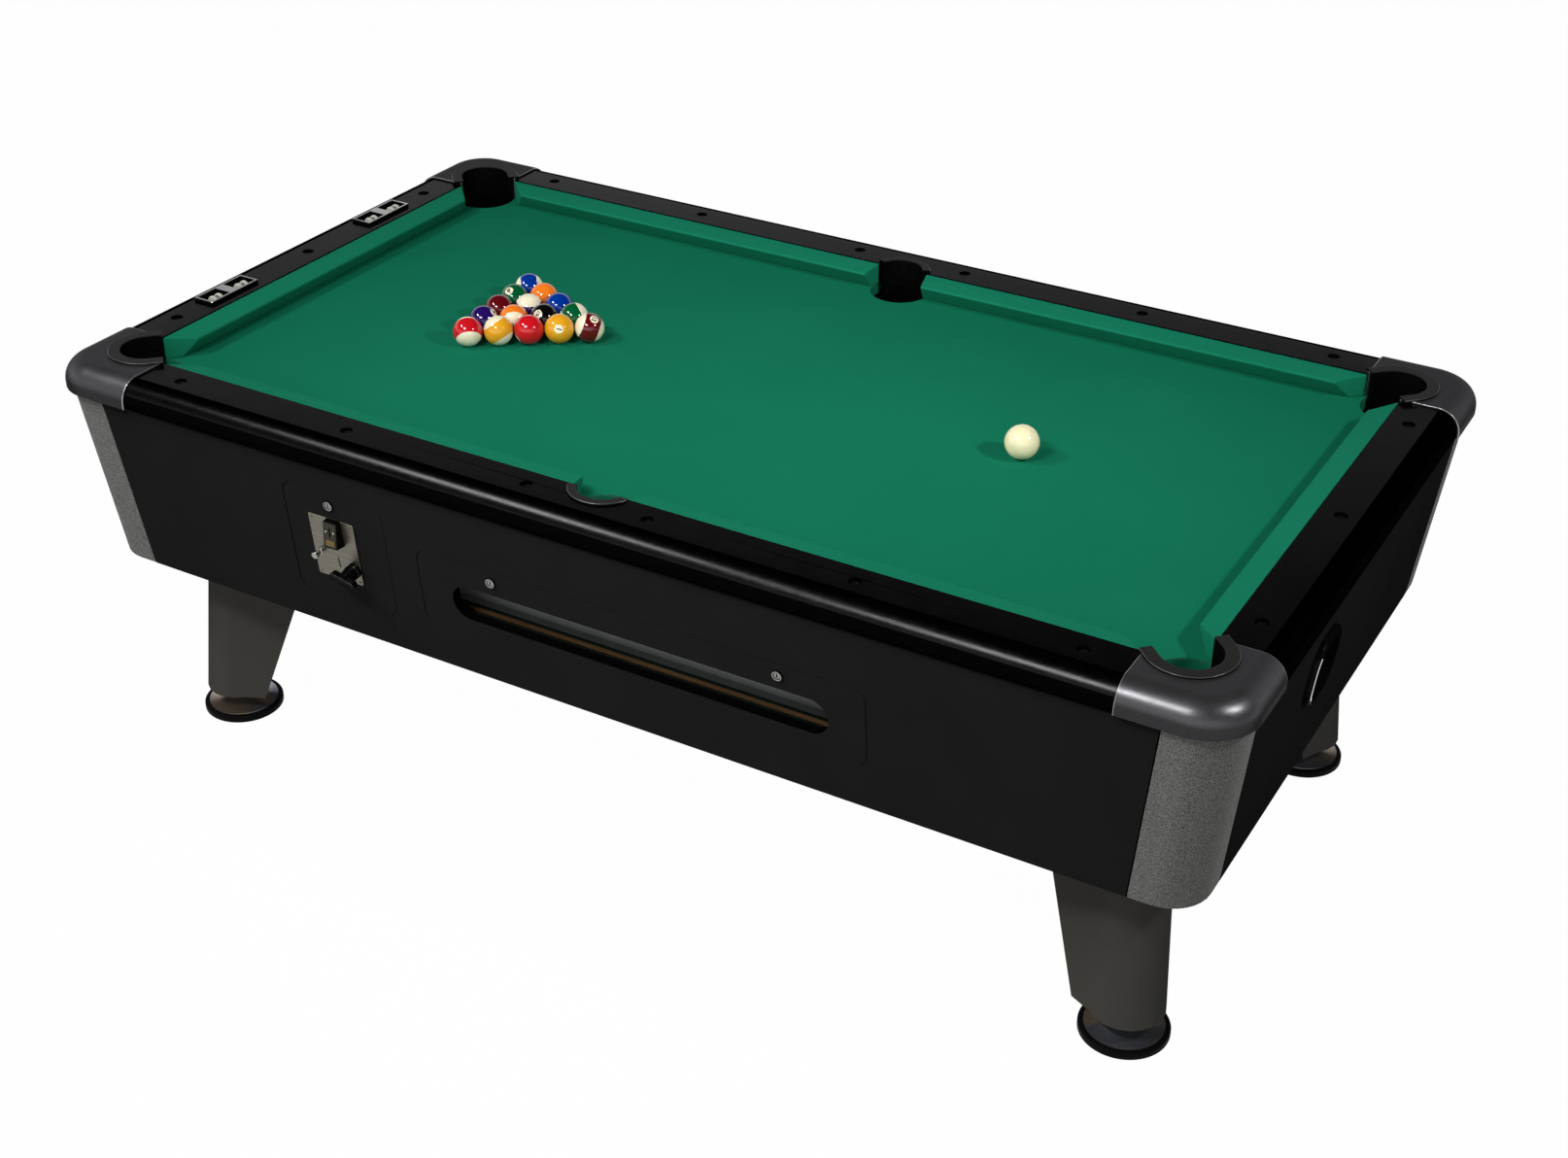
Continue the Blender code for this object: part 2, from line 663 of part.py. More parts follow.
def make_panels():
    seam_x = CABINET_X - TRIM_WIDTH - GAP
    seam_y = CABINET_Y - TRIM_WIDTH - GAP
    inner_x = CABINET_X - PANEL_THICKNESS
    inner_y = CABINET_Y - PANEL_THICKNESS
    cleat_top = SLATE_BOTTOM - GAP
    cleat_bottom = cleat_top - CLEAT_HEIGHT
    flare = PANEL_TAPER * (cleat_bottom - PANEL_BOTTOM) / PANEL_RISE
    for side, sign in (("near", -1), ("far", 1)):
        rows = sorted((sign * inner_y, sign * CABINET_Y))
        outline = [(-seam_x, rows[0]), (seam_x, rows[0]), (seam_x, rows[1]), (-seam_x, rows[1])]
        panel = add_part(side + "_panel", flared(outline, PANEL_BOTTOM, PANEL_TOP), BLACK_LAMINATE)
        edges = sorted((sign * (inner_y + flare + CLEAT_BITE), sign * (inner_y + flare - CLEAT_WIDTH)))
        end = JOINT_X - CORNER_LIP_WIDTH
        join(panel, box((-end, edges[0], cleat_bottom), (end, edges[1], cleat_top)))
        if side == "near":
            cut_door_openings(panel)
    for side, sign in (("left", -1), ("right", 1)):
        columns = sorted((sign * inner_x, sign * CABINET_X))
        outline = [(columns[0], -seam_y), (columns[1], -seam_y), (columns[1], seam_y), (columns[0], seam_y)]
        panel = add_part(side + "_panel", flared(outline, PANEL_BOTTOM, PANEL_TOP), BLACK_LAMINATE)
        edges = sorted((sign * (inner_x + flare + CLEAT_BITE), sign * (inner_x + flare - CLEAT_WIDTH)))
        end = JOINT_Y - CORNER_LIP_WIDTH
        join(panel, box((edges[0], -end, cleat_bottom), (edges[1], end, cleat_top)))
        if side == "right":
            cut(panel, return_prism(GAP, -CUT_MARGIN, CUT_MARGIN), RIGHT_PANEL)


def cut_door_openings(panel):
    openings = (
        (COIN_DOOR_WIDTH, COIN_DOOR_HEIGHT, (COIN_DOOR_U, COIN_DOOR_V)),
        (BALL_DOOR_WIDTH, BALL_DOOR_HEIGHT, (BALL_DOOR_U, BALL_DOOR_V)),
    )
    for width, height, centre in openings:
        lift = (DOOR_GAP - GAP) / 2
        outline = rounded_rectangle(
            width + 2 * DOOR_GAP, height + DOOR_GAP + GAP, DOOR_CORNER_RADIUS + DOOR_GAP,
            (centre[0], centre[1] + lift),
        )
        cut(panel, prism(outline, -CUT_MARGIN, CUT_MARGIN), NEAR_PANEL)


def make_trims():
    """Rounded corner trims that close the cabinet between the panels."""
    radius = TRIM_CORNER_RADIUS
    centre = (CABINET_X - radius, CABINET_Y - radius)
    inner_x = CABINET_X - PANEL_THICKNESS
    inner_y = CABINET_Y - PANEL_THICKNESS
    seam_x = CABINET_X - TRIM_WIDTH
    seam_y = CABINET_Y - TRIM_WIDTH
    outline = [(seam_x, CABINET_Y)] + arc(centre, radius, 90, 0, 8) + [(CABINET_X, seam_y), (inner_x, seam_y)]
    outline += arc(centre, radius - PANEL_THICKNESS, 0, 90, 8) + [(seam_x, inner_y)]
    for name, (sign_x, sign_y) in CORNERS.items():
        turned_outline = [(sign_x * x, sign_y * y) for x, y in outline]
        add_part(name + "_corner_trim", flared(turned_outline, PANEL_BOTTOM, PANEL_TOP), HAMMERED_GREY)


def make_cabinet_floor():
    lift = PANEL_TAPER * FLOOR_LIFT / PANEL_RISE
    half_x = CABINET_X - PANEL_THICKNESS + lift - GAP
    half_y = CABINET_Y - PANEL_THICKNESS + lift - GAP
    radius = TRIM_CORNER_RADIUS - PANEL_THICKNESS
    outline = rounded_rectangle(2 * half_x, 2 * half_y, radius, steps=8)
    add_part("cabinet_floor", prism(outline, FLOOR_BOTTOM, FLOOR_TOP), PLYWOOD)


def leg_line(radius, back, shift):
    """Half round facing out of the table, with a wing on each side that spreads towards the back."""
    spread = radius + back * math.tan(LEG_WING_ANGLE)
    return [(shift - back, -spread)] + arc((shift, 0), radius, -90, 90, 10) + [(shift - back, spread)]


def leg_outline(back, shift):
    """Plan of a leg: a folded sheet, open at the back."""
    return leg_line(LEG_RADIUS, back, shift) + leg_line(LEG_RADIUS - LEG_WALL, back, shift)[::-1]


def make_legs():
    for name, (sign_x, sign_y) in CORNERS.items():
        place = Matrix.Translation((sign_x * FOOT_X, sign_y * FOOT_Y, 0))
        frame = place @ Matrix.Rotation(math.atan2(sign_y, sign_x), 4, "Z")
        bm = bmesh.new()
        bottom = leg_outline(LEG_BACK_BOTTOM, 0.0)
        top = leg_outline(LEG_BACK_TOP, -LEG_LEAN)
        cap = extrude_face(bm, [(x, y, LEG_BOTTOM) for x, y in bottom], (0, 0, LEG_TOP - LEG_BOTTOM))
        by_place = {(round(vert.co.x, 6), round(vert.co.y, 6)): vert for vert in cap}
        moves = [(by_place[(round(low[0], 6), round(low[1], 6))], high) for low, high in zip(bottom, top)]
        for vert, high in moves:
            vert.co.x = high[0]
            vert.co.y = high[1]
        leg = add_part(name + "_leg", bm, LEG_GREY, frame)
        middle = LEG_RADIUS - LEG_WALL / 2
        sole = leg_line(middle, LEG_BACK_BOTTOM - LEG_WALL, 0.0)
        join(leg, prism(sole, LEG_BOTTOM + GAP, LEG_BOTTOM + LEG_PLATE), frame)
        head = leg_line(middle, LEG_BACK_TOP - LEG_WALL, -LEG_LEAN)
        join(leg, prism(head, LEG_TOP - LEG_PLATE, LEG_TOP - GAP), frame)
        boss = STEM_RADIUS + STEM_BOSS
        join(leg, cylinder(boss, LEG_BOTTOM + LEG_PLATE / 2, LEG_BOTTOM + STEM_BORE_DEPTH + STEM_BOSS), frame)
        bore = cylinder(STEM_RADIUS + STEM_CLEARANCE, LEG_BOTTOM - CUT_MARGIN, LEG_BOTTOM + STEM_BORE_DEPTH)
        cut(leg, bore, frame)
        make_foot(name, place)


def make_foot(name, place):
    """Levelling foot: a dished plate on a threaded stem that runs up into the leg."""
    shoulder = LEG_BOTTOM - GAP
    profile = [
        (0, shoulder + STEM_LENGTH), (STEM_RADIUS - 0.002, shoulder + STEM_LENGTH),
        (STEM_RADIUS, shoulder + STEM_LENGTH - 0.002), (STEM_RADIUS, shoulder),
        (FOOT_HUB_RADIUS, shoulder), (FOOT_HUB_RADIUS, FOOT_CONE_TOP),
        (FOOT_RADIUS * 0.5, FOOT_CONE_TOP * 0.72), (FOOT_RADIUS - 0.005, FOOT_RIM_HEIGHT + 0.002),
        (FOOT_RADIUS - 0.001, FOOT_RIM_HEIGHT), (FOOT_RADIUS, FOOT_RIM_HEIGHT - 0.003),
        (FOOT_RADIUS, 0.002), (FOOT_RADIUS - 0.002, 0), (0, 0),
    ]
    turned(name + "_foot", profile, CHROME, place, steps=20)


def make_lock(name, place, parent):
    """Cam lock: a round keyed head, a barrel through the door and a cam behind it."""
    back = -PANEL_DEPTH - 0.0006
    frame = NEAR_PANEL @ Matrix.Translation((place[0], place[1], 0))
    pivot = add_pivot(name + "_axis", frame, (0, 0, 0), parent)
    profile = [
        (0, LOCK_HEAD_HEIGHT), (LOCK_HEAD_RADIUS - 0.001, LOCK_HEAD_HEIGHT),
        (LOCK_HEAD_RADIUS, LOCK_HEAD_HEIGHT - 0.001), (LOCK_HEAD_RADIUS, GAP),
        (LOCK_BARREL_RADIUS, GAP), (LOCK_BARREL_RADIUS, back - LOCK_CAM_THICKNESS - 0.002),
        (0, back - LOCK_CAM_THICKNESS - 0.002),
    ]
    lock = turned(name, profile, CHROME, frame, pivot, steps=16)
    half = LOCK_CAM_WIDTH / 2
    tip = LOCK_CAM_LENGTH - half
    outline = arc((0, 0), half, 90, 270, 6) + arc((tip, 0), half, -90, 90, 6)
    join(lock, prism(outline, back - LOCK_CAM_THICKNESS, back), frame)
    cut(lock, box((-0.0009, -0.004, LOCK_HEAD_HEIGHT - 0.002), (0.0009, 0.004, 0.02)), frame)


def lock_hole(door, place):
    cut(door, cylinder(LOCK_BARREL_RADIUS + SHAFT_CLEARANCE, -CUT_MARGIN, CUT_MARGIN, place), NEAR_PANEL)


def make_door(name, width, height, centre):
    """A flush door in the near panel, with its origin on the hinge line along its lower edge."""
    hinge = (centre[0], centre[1] - height / 2, 0)
    pivot = add_pivot(name + "_hinge", NEAR_PANEL, hinge)
    outline = rounded_rectangle(width, height, DOOR_CORNER_RADIUS, centre)
    bm = prism(outline, -PANEL_DEPTH + GAP, 0)
    return add_part(name, bm, BLACK_LAMINATE, NEAR_PANEL, hinge, pivot), pivot


def make_coin_door():
    centre = (COIN_DOOR_U, COIN_DOOR_V)
    door, pivot = make_door("coin_door", COIN_DOOR_WIDTH, COIN_DOOR_HEIGHT, centre)
    lock_place = (COIN_DOOR_U + COIN_LOCK_SHIFT, COIN_DOOR_V + COIN_DOOR_HEIGHT / 2 - COIN_LOCK_DROP)
    lock_hole(door, lock_place)
    make_lock("coin_door_lock", lock_place, pivot)
    plate_centre = (COIN_DOOR_U + PLATE_SHIFT_U, COIN_DOOR_V + PLATE_SHIFT_V)
    plate_frame = NEAR_PANEL @ Matrix.Translation((plate_centre[0], plate_centre[1], 0))
    outline = rounded_rectangle(PLATE_WIDTH, PLATE_HEIGHT, 0.003, steps=2)
    plate_top = GAP + PLATE_THICKNESS
    plate = add_part("coin_plate", prism(outline, GAP, plate_top), STEEL, plate_frame, (0, 0, 0), pivot)
    holes = (((BUTTON_U, BUTTON_V), BUTTON_STEM_RADIUS), ((HANDLE_U, HANDLE_V), HANDLE_SHAFT_RADIUS))
    for hole, radius in holes:
        for part in (plate, door):
            cut(part, cylinder(radius + SHAFT_CLEARANCE, -CUT_MARGIN, CUT_MARGIN, hole, 16), plate_frame)
    make_coin_entry(plate_frame, plate_top + GAP, pivot)
    make_coin_button(plate_frame, plate_top, pivot)
    make_turn_handle(plate_frame, plate_top + GAP, pivot)
    mech = box(
        (-MECH_WIDTH / 2, -MECH_HEIGHT / 2, -PANEL_DEPTH - MECH_DEPTH),
        (MECH_WIDTH / 2, MECH_HEIGHT / 2, -PANEL_DEPTH),
    )
    bevel_edges(mech, lambda edge: True, 0.003, 1)
    add_part("coin_mechanism", mech, STEEL, plate_frame, (0, 0, 0), pivot)


def make_coin_entry(frame, seat, parent):
    """Wedge-shaped coin entry, deeper at its foot, with an upright slot."""
    low = ENTRY_V - ENTRY_HEIGHT / 2
    high = ENTRY_V + ENTRY_HEIGHT / 2
    left = ENTRY_U - ENTRY_WIDTH / 2
    profile = [
        (low, seat), (high, seat), (high, seat + ENTRY_TOP_DEPTH), (low + 0.004, seat + ENTRY_BOTTOM_DEPTH),
    ]
    bm = bmesh.new()
    extrude_face(bm, [(left, up, out) for up, out in profile], (ENTRY_WIDTH, 0, 0))
    bevel_edges(bm, lambda edge: min(vert.co.z for vert in edge.verts) > seat + 0.001, 0.0012, 2)
    entry = add_part("coin_entry", bm, BLACK_RUBBER, frame, (0, 0, 0), parent)
    face = seat + (ENTRY_TOP_DEPTH + ENTRY_BOTTOM_DEPTH) / 2
    half = COIN_SLOT_WIDTH / 2
    low_slot = ENTRY_V - COIN_SLOT_HEIGHT / 2
    high_slot = ENTRY_V + COIN_SLOT_HEIGHT / 2
    slot = box((ENTRY_U - half, low_slot, face - COIN_SLOT_DEPTH), (ENTRY_U + half, high_slot, face + 0.02))
    cut(entry, slot, frame)


def make_coin_button(frame, seat, parent):
    """Coin return button: a stepped chrome plunger that pushes in through the plate."""
    place = frame @ Matrix.Translation((BUTTON_U, BUTTON_V, 0))
    pivot = add_pivot("coin_return_button_axis", place, (0, 0, 0), parent)
    collar = seat + BUTTON_TRAVEL + GAP
    tip = seat + BUTTON_LENGTH
    profile = [
        (0, tip), (BUTTON_RADIUS - 0.001, tip), (BUTTON_RADIUS, tip - 0.001), (BUTTON_RADIUS, tip - 0.007),
        (BUTTON_STEM_RADIUS, tip - 0.008), (BUTTON_STEM_RADIUS, collar + 0.004),
        (BUTTON_RADIUS, collar + 0.003), (BUTTON_RADIUS, collar), (BUTTON_STEM_RADIUS, collar),
        (BUTTON_STEM_RADIUS, -0.008), (0, -0.008),
    ]
    turned("coin_return_button", profile, CHROME, place, pivot, steps=16)


def make_turn_handle(frame, seat, parent):
    """Turn handle: a fluted hub with a T-bar, on a shaft that runs through to the mechanism."""
    place = frame @ Matrix.Translation((HANDLE_U, HANDLE_V, 0))
    pivot = add_pivot("turn_handle_axis", place, (0, 0, 0), parent)
    bar_low = seat + HANDLE_LENGTH - HANDLE_BAR_WIDTH
    profile = [
        (0, seat + HANDLE_LENGTH - 0.002), (HANDLE_HUB_RADIUS * 0.7, seat + HANDLE_LENGTH - 0.002),
        (HANDLE_HUB_RADIUS * 0.8, bar_low), (HANDLE_HUB_RADIUS, seat + 0.012), (HANDLE_HUB_RADIUS, seat),
        (HANDLE_SHAFT_RADIUS, seat), (HANDLE_SHAFT_RADIUS, -PANEL_DEPTH + GAP), (0, -PANEL_DEPTH + GAP),
    ]
    handle = turned("turn_handle", profile, BLACK_RUBBER, place, pivot, steps=20)
    half = HANDLE_BAR_WIDTH / 2
    reach = HANDLE_BAR_LENGTH / 2 - half
    outline = arc((-reach, 0), half, 90, 270, 6) + arc((reach, 0), half, -90, 90, 6)
    bar = prism(outline, bar_low, seat + HANDLE_LENGTH)
    bevel_edges(bar, lambda edge: abs(edge.verts[0].co.z - edge.verts[1].co.z) < 0.0001, 0.002, 2)
    join(handle, bar, place @ Matrix.Rotation(HANDLE_TILT, 4, "Z"))


def make_ball_door():
    centre = (BALL_DOOR_U, BALL_DOOR_V)
    door, pivot = make_door("ball_door", BALL_DOOR_WIDTH, BALL_DOOR_HEIGHT, centre)
    slot = rounded_rectangle(
        BALL_SLOT_LENGTH, BALL_SLOT_HEIGHT, BALL_SLOT_HEIGHT / 2 - 0.0001, (BALL_DOOR_U, BALL_SLOT_V), 8
    )
    cut(door, prism(slot, -CUT_MARGIN, CUT_MARGIN), NEAR_PANEL)
    for name, sign in (("left", -1), ("right", 1)):
        place = (
            BALL_DOOR_U + sign * (BALL_DOOR_WIDTH / 2 - BALL_LOCK_INSET),
            BALL_DOOR_V + BALL_DOOR_HEIGHT / 2 - BALL_LOCK_DROP,
        )
        lock_hole(door, place)
        make_lock("ball_door_lock_" + name, place, pivot)


def panel_inner_y(height):
    """Inner face of the near panel at a height, as a distance from the middle of the table."""
    return CABINET_Y - PANEL_THICKNESS + PANEL_TAPER * (height - PANEL_BOTTOM) / PANEL_RISE


def tray_back_y():
    return panel_inner_y(TRAY_FLOOR) + PANEL_THICKNESS - TRAY_BACK_DEPTH


def make_ball_tray():
    """Ball tray behind the slot: a floor, a back wall and two end boards that stand on the cabinet floor."""
    half = BALL_DOOR_WIDTH / 2 + TRAY_END_CLEARANCE
    left = BALL_DOOR_U - half
    right = BALL_DOOR_U + half
    front = panel_inner_y(TRAY_FLOOR - TRAY_WALL) - 0.004
    back = tray_back_y()
    floor = box((left, -front, TRAY_FLOOR - TRAY_WALL), (right, -back + TRAY_WALL, TRAY_FLOOR))
    tray = add_part("ball_tray", floor, PLYWOOD)
    join(tray, box((left, -back, TRAY_FLOOR - 0.004), (right, -back + TRAY_WALL, TRAY_BACK_TOP)))
    foot_front = panel_inner_y(FLOOR_TOP) - 0.002
    for low, high in ((left - TRAY_WALL, left + TRAY_JOINT), (right - TRAY_JOINT, right + TRAY_WALL)):
        top = (high, runway_edge() - GAP, RUNWAY_NEAR_TOP + TRAY_END_RISE)
        join(tray, box((low, -foot_front, FLOOR_TOP + GAP), top))


def runway_top(y):
    """Height of the runway's deck, which falls towards the near side."""
    near = -gate_axis()[0]
    far = CABINET_Y - PANEL_THICKNESS
    return RUNWAY_NEAR_TOP + (RUNWAY_FAR_TOP - RUNWAY_NEAR_TOP) * (y - near) / (far - near)


def gate_axis():
    """The gate's hinge line, as a distance towards the near side and a height."""
    return tray_back_y() + 0.010, RUNWAY_NEAR_TOP - 0.002


def runway_edge():
    """Where the runway's deck ends, just behind the gate's hinge rod."""
    return -gate_axis()[0] + GATE_PIN_RADIUS + GATE_RUNWAY_GAP


def make_gate():
    """Ball gate: a tilted flap on a hinge rod that holds the balls back on the runway."""
    near, height = gate_axis()
    half = BALL_DOOR_WIDTH / 2 + TRAY_END_CLEARANCE - TRAY_JOINT - GAP
    frame = Matrix.Translation((BALL_DOOR_U, -near, height)) @ Matrix.Rotation(GATE_TILT, 4, "X")
    outline = [
        (-GATE_THICKNESS / 2, 0), (GATE_THICKNESS / 2, 0), (GATE_THICKNESS / 2, GATE_LENGTH - 0.006),
        (GATE_THICKNESS / 2 + 0.006, GATE_LENGTH), (-GATE_THICKNESS / 2 + 0.003, GATE_LENGTH),
        (-GATE_THICKNESS / 2, GATE_LENGTH - 0.004),
    ]
    bm = bmesh.new()
    extrude_face(bm, [(-half, y, z) for y, z in outline], (2 * half, 0, 0))
    gate = add_part("ball_gate", bm, STEEL, frame)
    rod = cylinder(GATE_PIN_RADIUS, -half, half, segments=12)
    bmesh.ops.rotate(rod, verts=rod.verts, cent=(0, 0, 0), matrix=Matrix.Rotation(math.pi / 2, 3, "Y"))
    join(gate, rod, frame)


def make_runway():
    """Sloping deck under the pockets, with raised edges, on two bearers that stand on the cabinet floor."""
    half_x = CABINET_X - PANEL_THICKNESS - RUNWAY_MARGIN
    near = -(CABINET_Y - PANEL_THICKNESS - RUNWAY_MARGIN)
    far = CABINET_Y - PANEL_THICKNESS
    lip = 0.010
    profile = [
        (near, runway_top(near) - RUNWAY_THICKNESS), (far, runway_top(far) - RUNWAY_THICKNESS),
        (far, runway_top(far) + RUNWAY_LIP), (far - lip, runway_top(far) + RUNWAY_LIP),
        (far - lip, runway_top(far - lip)), (near, runway_top(near)),
    ]
    bm = bmesh.new()
    extrude_face(bm, [(-half_x, y, z) for y, z in profile], (2 * half_x, 0, 0))
    runway = add_part("ball_runway", bm, PLYWOOD)
    for sign in (-1, 1):
        edges = sorted((sign * half_x, sign * (half_x - lip)))
        wall = bmesh.new()
        wall_far = far - 0.001
        points = [
            (edges[0], near, runway_top(near) - RUNWAY_BITE),
            (edges[0], wall_far, runway_top(far) - RUNWAY_BITE),
            (edges[0], wall_far, runway_top(far) + RUNWAY_LIP),
            (edges[0], near, runway_top(near) + RUNWAY_LIP),
        ]
        extrude_face(wall, points, (edges[1] - edges[0], 0, 0))
        join(runway, wall)
        bearer = bmesh.new()
        start = sign * RUNWAY_BEARER_X - RUNWAY_BEARER_WIDTH / 2
        bearer_near = near + 0.03
        bearer_far = far - 0.02
        points = [
            (start, bearer_near, FLOOR_TOP + GAP), (start, bearer_far, FLOOR_TOP + GAP),
            (start, bearer_far, runway_top(bearer_far) - RUNWAY_BITE),
            (start, bearer_near, runway_top(bearer_near) - RUNWAY_BITE),
        ]
        extrude_face(bearer, points, (RUNWAY_BEARER_WIDTH, 0, 0))
        join(runway, bearer)
    tray_half = BALL_DOOR_WIDTH / 2 + TRAY_END_CLEARANCE + TRAY_WALL + 0.002
    coin_left = COIN_DOOR_U - COIN_DOOR_WIDTH / 2
    cut(runway, box((coin_left, -CASTING_Y, FLOOR_TOP), (BALL_DOOR_U + tray_half, runway_edge(), RAIL_TOP)))
    inner = CABINET_X - RETURN_DEPTH - 0.006
    half = RETURN_WIDTH / 2 + RETURN_RUNWAY_ROOM
    cut(runway, box((inner, RETURN_U - half, FLOOR_TOP), (CASTING_X, RETURN_U + half, RAIL_TOP)))


def return_outline(grow):
    width = RETURN_WIDTH + 2 * grow
    height = RETURN_HEIGHT + 2 * grow
    return rounded_rectangle(width, height, RETURN_CORNER_RADIUS + grow, (RETURN_U, RETURN_V), 5)


def return_prism(grow, low, high):
    return prism(return_outline(grow), low, high)


def make_cue_ball_return():
    """Cue ball return: a moulded cup with a rounded flange, and a hole where the ball rolls in."""
    bm = return_prism(RETURN_FLANGE, GAP, RETURN_FLANGE_THICKNESS)
    rim = RETURN_FLANGE_THICKNESS - 0.0005
    bevel_edges(bm, lambda edge: min(vert.co.z for vert in edge.verts) > rim, 0.006, 3)
    cup = add_part("cue_ball_return", bm, BLACK_RUBBER, RIGHT_PANEL)
    join(cup, return_prism(0, -RETURN_DEPTH, 0.004), RIGHT_PANEL)
    cut(cup, return_prism(-RETURN_WALL, -RETURN_DEPTH + RETURN_WALL, CUT_MARGIN), RIGHT_PANEL)
    hole_v = RETURN_V + RETURN_HEIGHT / 2 - RETURN_BALL_HOLE_RADIUS - 0.012
    hole_ends = (-RETURN_DEPTH - CUT_MARGIN, -RETURN_DEPTH + 0.02)
    cut(cup, cylinder(RETURN_BALL_HOLE_RADIUS, *hole_ends, (RETURN_U, hole_v)), RIGHT_PANEL)


def make_cash_box():
    """Open steel box under the coin mechanism."""
    near = panel_inner_y(FLOOR_TOP) - 0.012
    low = Vector((COIN_DOOR_U - CASH_BOX_LENGTH / 2, -near, FLOOR_TOP + GAP))
    high = low + Vector((CASH_BOX_LENGTH, CASH_BOX_WIDTH, CASH_BOX_HEIGHT))
    cash_box = add_part("cash_box", box(low, high), STEEL)
    wall = Vector((CASH_BOX_WALL, CASH_BOX_WALL, CASH_BOX_WALL))
    cut(cash_box, box(low + wall, high - wall + Vector((0, 0, 0.1))))


def counter_window():
    """Length and width of one window in a score counter."""
    length = (COUNTER_LENGTH - 2 * COUNTER_FRAME_WALL - COUNTER_BRIDGE) / 2
    return length, COUNTER_WIDTH - 2 * COUNTER_FRAME_WALL


def make_counters():
    """Score counters let into the left rail, each with two thumb wheels on axles along the rail."""
    length, width = counter_window()
    centre_x = -(LINE_X + COUNTER_INSET)
    rail = bpy.data.objects["left_rail"]
    for name, sign in (("near", -1), ("far", 1)):
        place = Matrix.Translation((centre_x, sign * COUNTER_Y, RAIL_TOP))
        well_x = COUNTER_WIDTH - 0.008
        well_y = COUNTER_LENGTH - 0.008
        well = box((-well_x / 2, -well_y / 2, -COUNTER_DEPTH - GAP), (well_x / 2, well_y / 2, 0.02))
        cut(rail, well, place)
        outline = rounded_rectangle(COUNTER_WIDTH, COUNTER_LENGTH, 0.002, steps=2)
        bm = prism(outline, GAP, COUNTER_FRAME_HEIGHT)
        bevel_edges(bm, lambda edge: min(v.co.z for v in edge.verts) > COUNTER_FRAME_HEIGHT - 0.001, 0.001, 1)
        counter = add_part(name + "_score_counter", bm, STEEL, place)
        body_x = well_x / 2 - GAP
        body_y = well_y / 2 - GAP
        body = box((-body_x, -body_y, -COUNTER_DEPTH), (body_x, body_y, COUNTER_FRAME_HEIGHT / 2))
        join(counter, body, place)
        for end, end_sign in (("near", -1), ("far", 1)):
            middle = end_sign * (COUNTER_BRIDGE + length) / 2
            window = box(
                (-width / 2, middle - length / 2, -COUNTER_DEPTH + 0.003),
                (width / 2, middle + length / 2, 0.02),
            )
            cut(counter, window, place)
            axle_place = place @ Matrix.Translation((0, middle, 0))
            make_wheel(name + "_counter_" + end + "_wheel", axle_place, length)


def make_wheel(name, place, length):
    """Score wheel: two numbered discs on a hub, with an axle that runs to the window's ends."""
    half = length / 2 - GAP
    inner = WHEEL_HUB_LENGTH / 2
    outer = inner + WHEEL_DISC
    profile = [
        (0, half), (WHEEL_AXLE_RADIUS, half), (WHEEL_AXLE_RADIUS, outer), (WHEEL_RADIUS - 0.001, outer),
        (WHEEL_RADIUS, outer - 0.001), (WHEEL_RADIUS, inner), (WHEEL_HUB_RADIUS, inner),
        (WHEEL_HUB_RADIUS, -inner), (WHEEL_RADIUS, -inner), (WHEEL_RADIUS, -outer + 0.001),
        (WHEEL_RADIUS - 0.001, -outer), (WHEEL_AXLE_RADIUS, -outer), (WHEEL_AXLE_RADIUS, -half), (0, -half),
    ]
    axle = place @ Matrix.Translation((WHEEL_SHIFT, 0, -WHEEL_DROP)) @ Matrix.Rotation(-math.pi / 2, 4, "X")
    turned(name, profile, WHITE_PLASTIC, axle, steps=12)


make_panels()
make_trims()
make_cabinet_floor()
make_bed()
for rail_side in SIDES:
    make_rail(rail_side)
make_cushions()
for corner, (corner_x, corner_y) in CORNERS.items():
    make_casting(corner, corner_x, corner_y)
for pocket_name in POCKETS:
    make_liner(pocket_name)
make_legs()
make_coin_door()
make_ball_door()
make_ball_tray()
make_gate()
make_runway()
make_cue_ball_return()
make_cash_box()
make_counters()
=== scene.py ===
import math
import bmesh
import bpy
from mathutils import Matrix, Vector


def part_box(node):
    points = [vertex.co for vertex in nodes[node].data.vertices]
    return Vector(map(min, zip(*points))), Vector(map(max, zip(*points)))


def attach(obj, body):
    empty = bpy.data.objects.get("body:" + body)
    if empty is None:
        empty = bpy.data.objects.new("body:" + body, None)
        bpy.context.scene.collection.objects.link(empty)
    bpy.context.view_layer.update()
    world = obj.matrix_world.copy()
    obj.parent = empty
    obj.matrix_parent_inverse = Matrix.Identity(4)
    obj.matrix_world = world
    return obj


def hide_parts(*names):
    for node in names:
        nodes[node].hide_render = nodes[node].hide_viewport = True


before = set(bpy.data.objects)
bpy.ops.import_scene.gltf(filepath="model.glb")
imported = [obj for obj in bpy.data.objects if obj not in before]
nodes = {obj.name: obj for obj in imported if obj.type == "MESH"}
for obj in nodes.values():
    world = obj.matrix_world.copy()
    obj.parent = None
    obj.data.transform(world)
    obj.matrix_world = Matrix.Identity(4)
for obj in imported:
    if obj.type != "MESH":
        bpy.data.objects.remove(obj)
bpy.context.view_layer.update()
scene = bpy.context.scene
scene.view_settings.view_transform = "Standard"

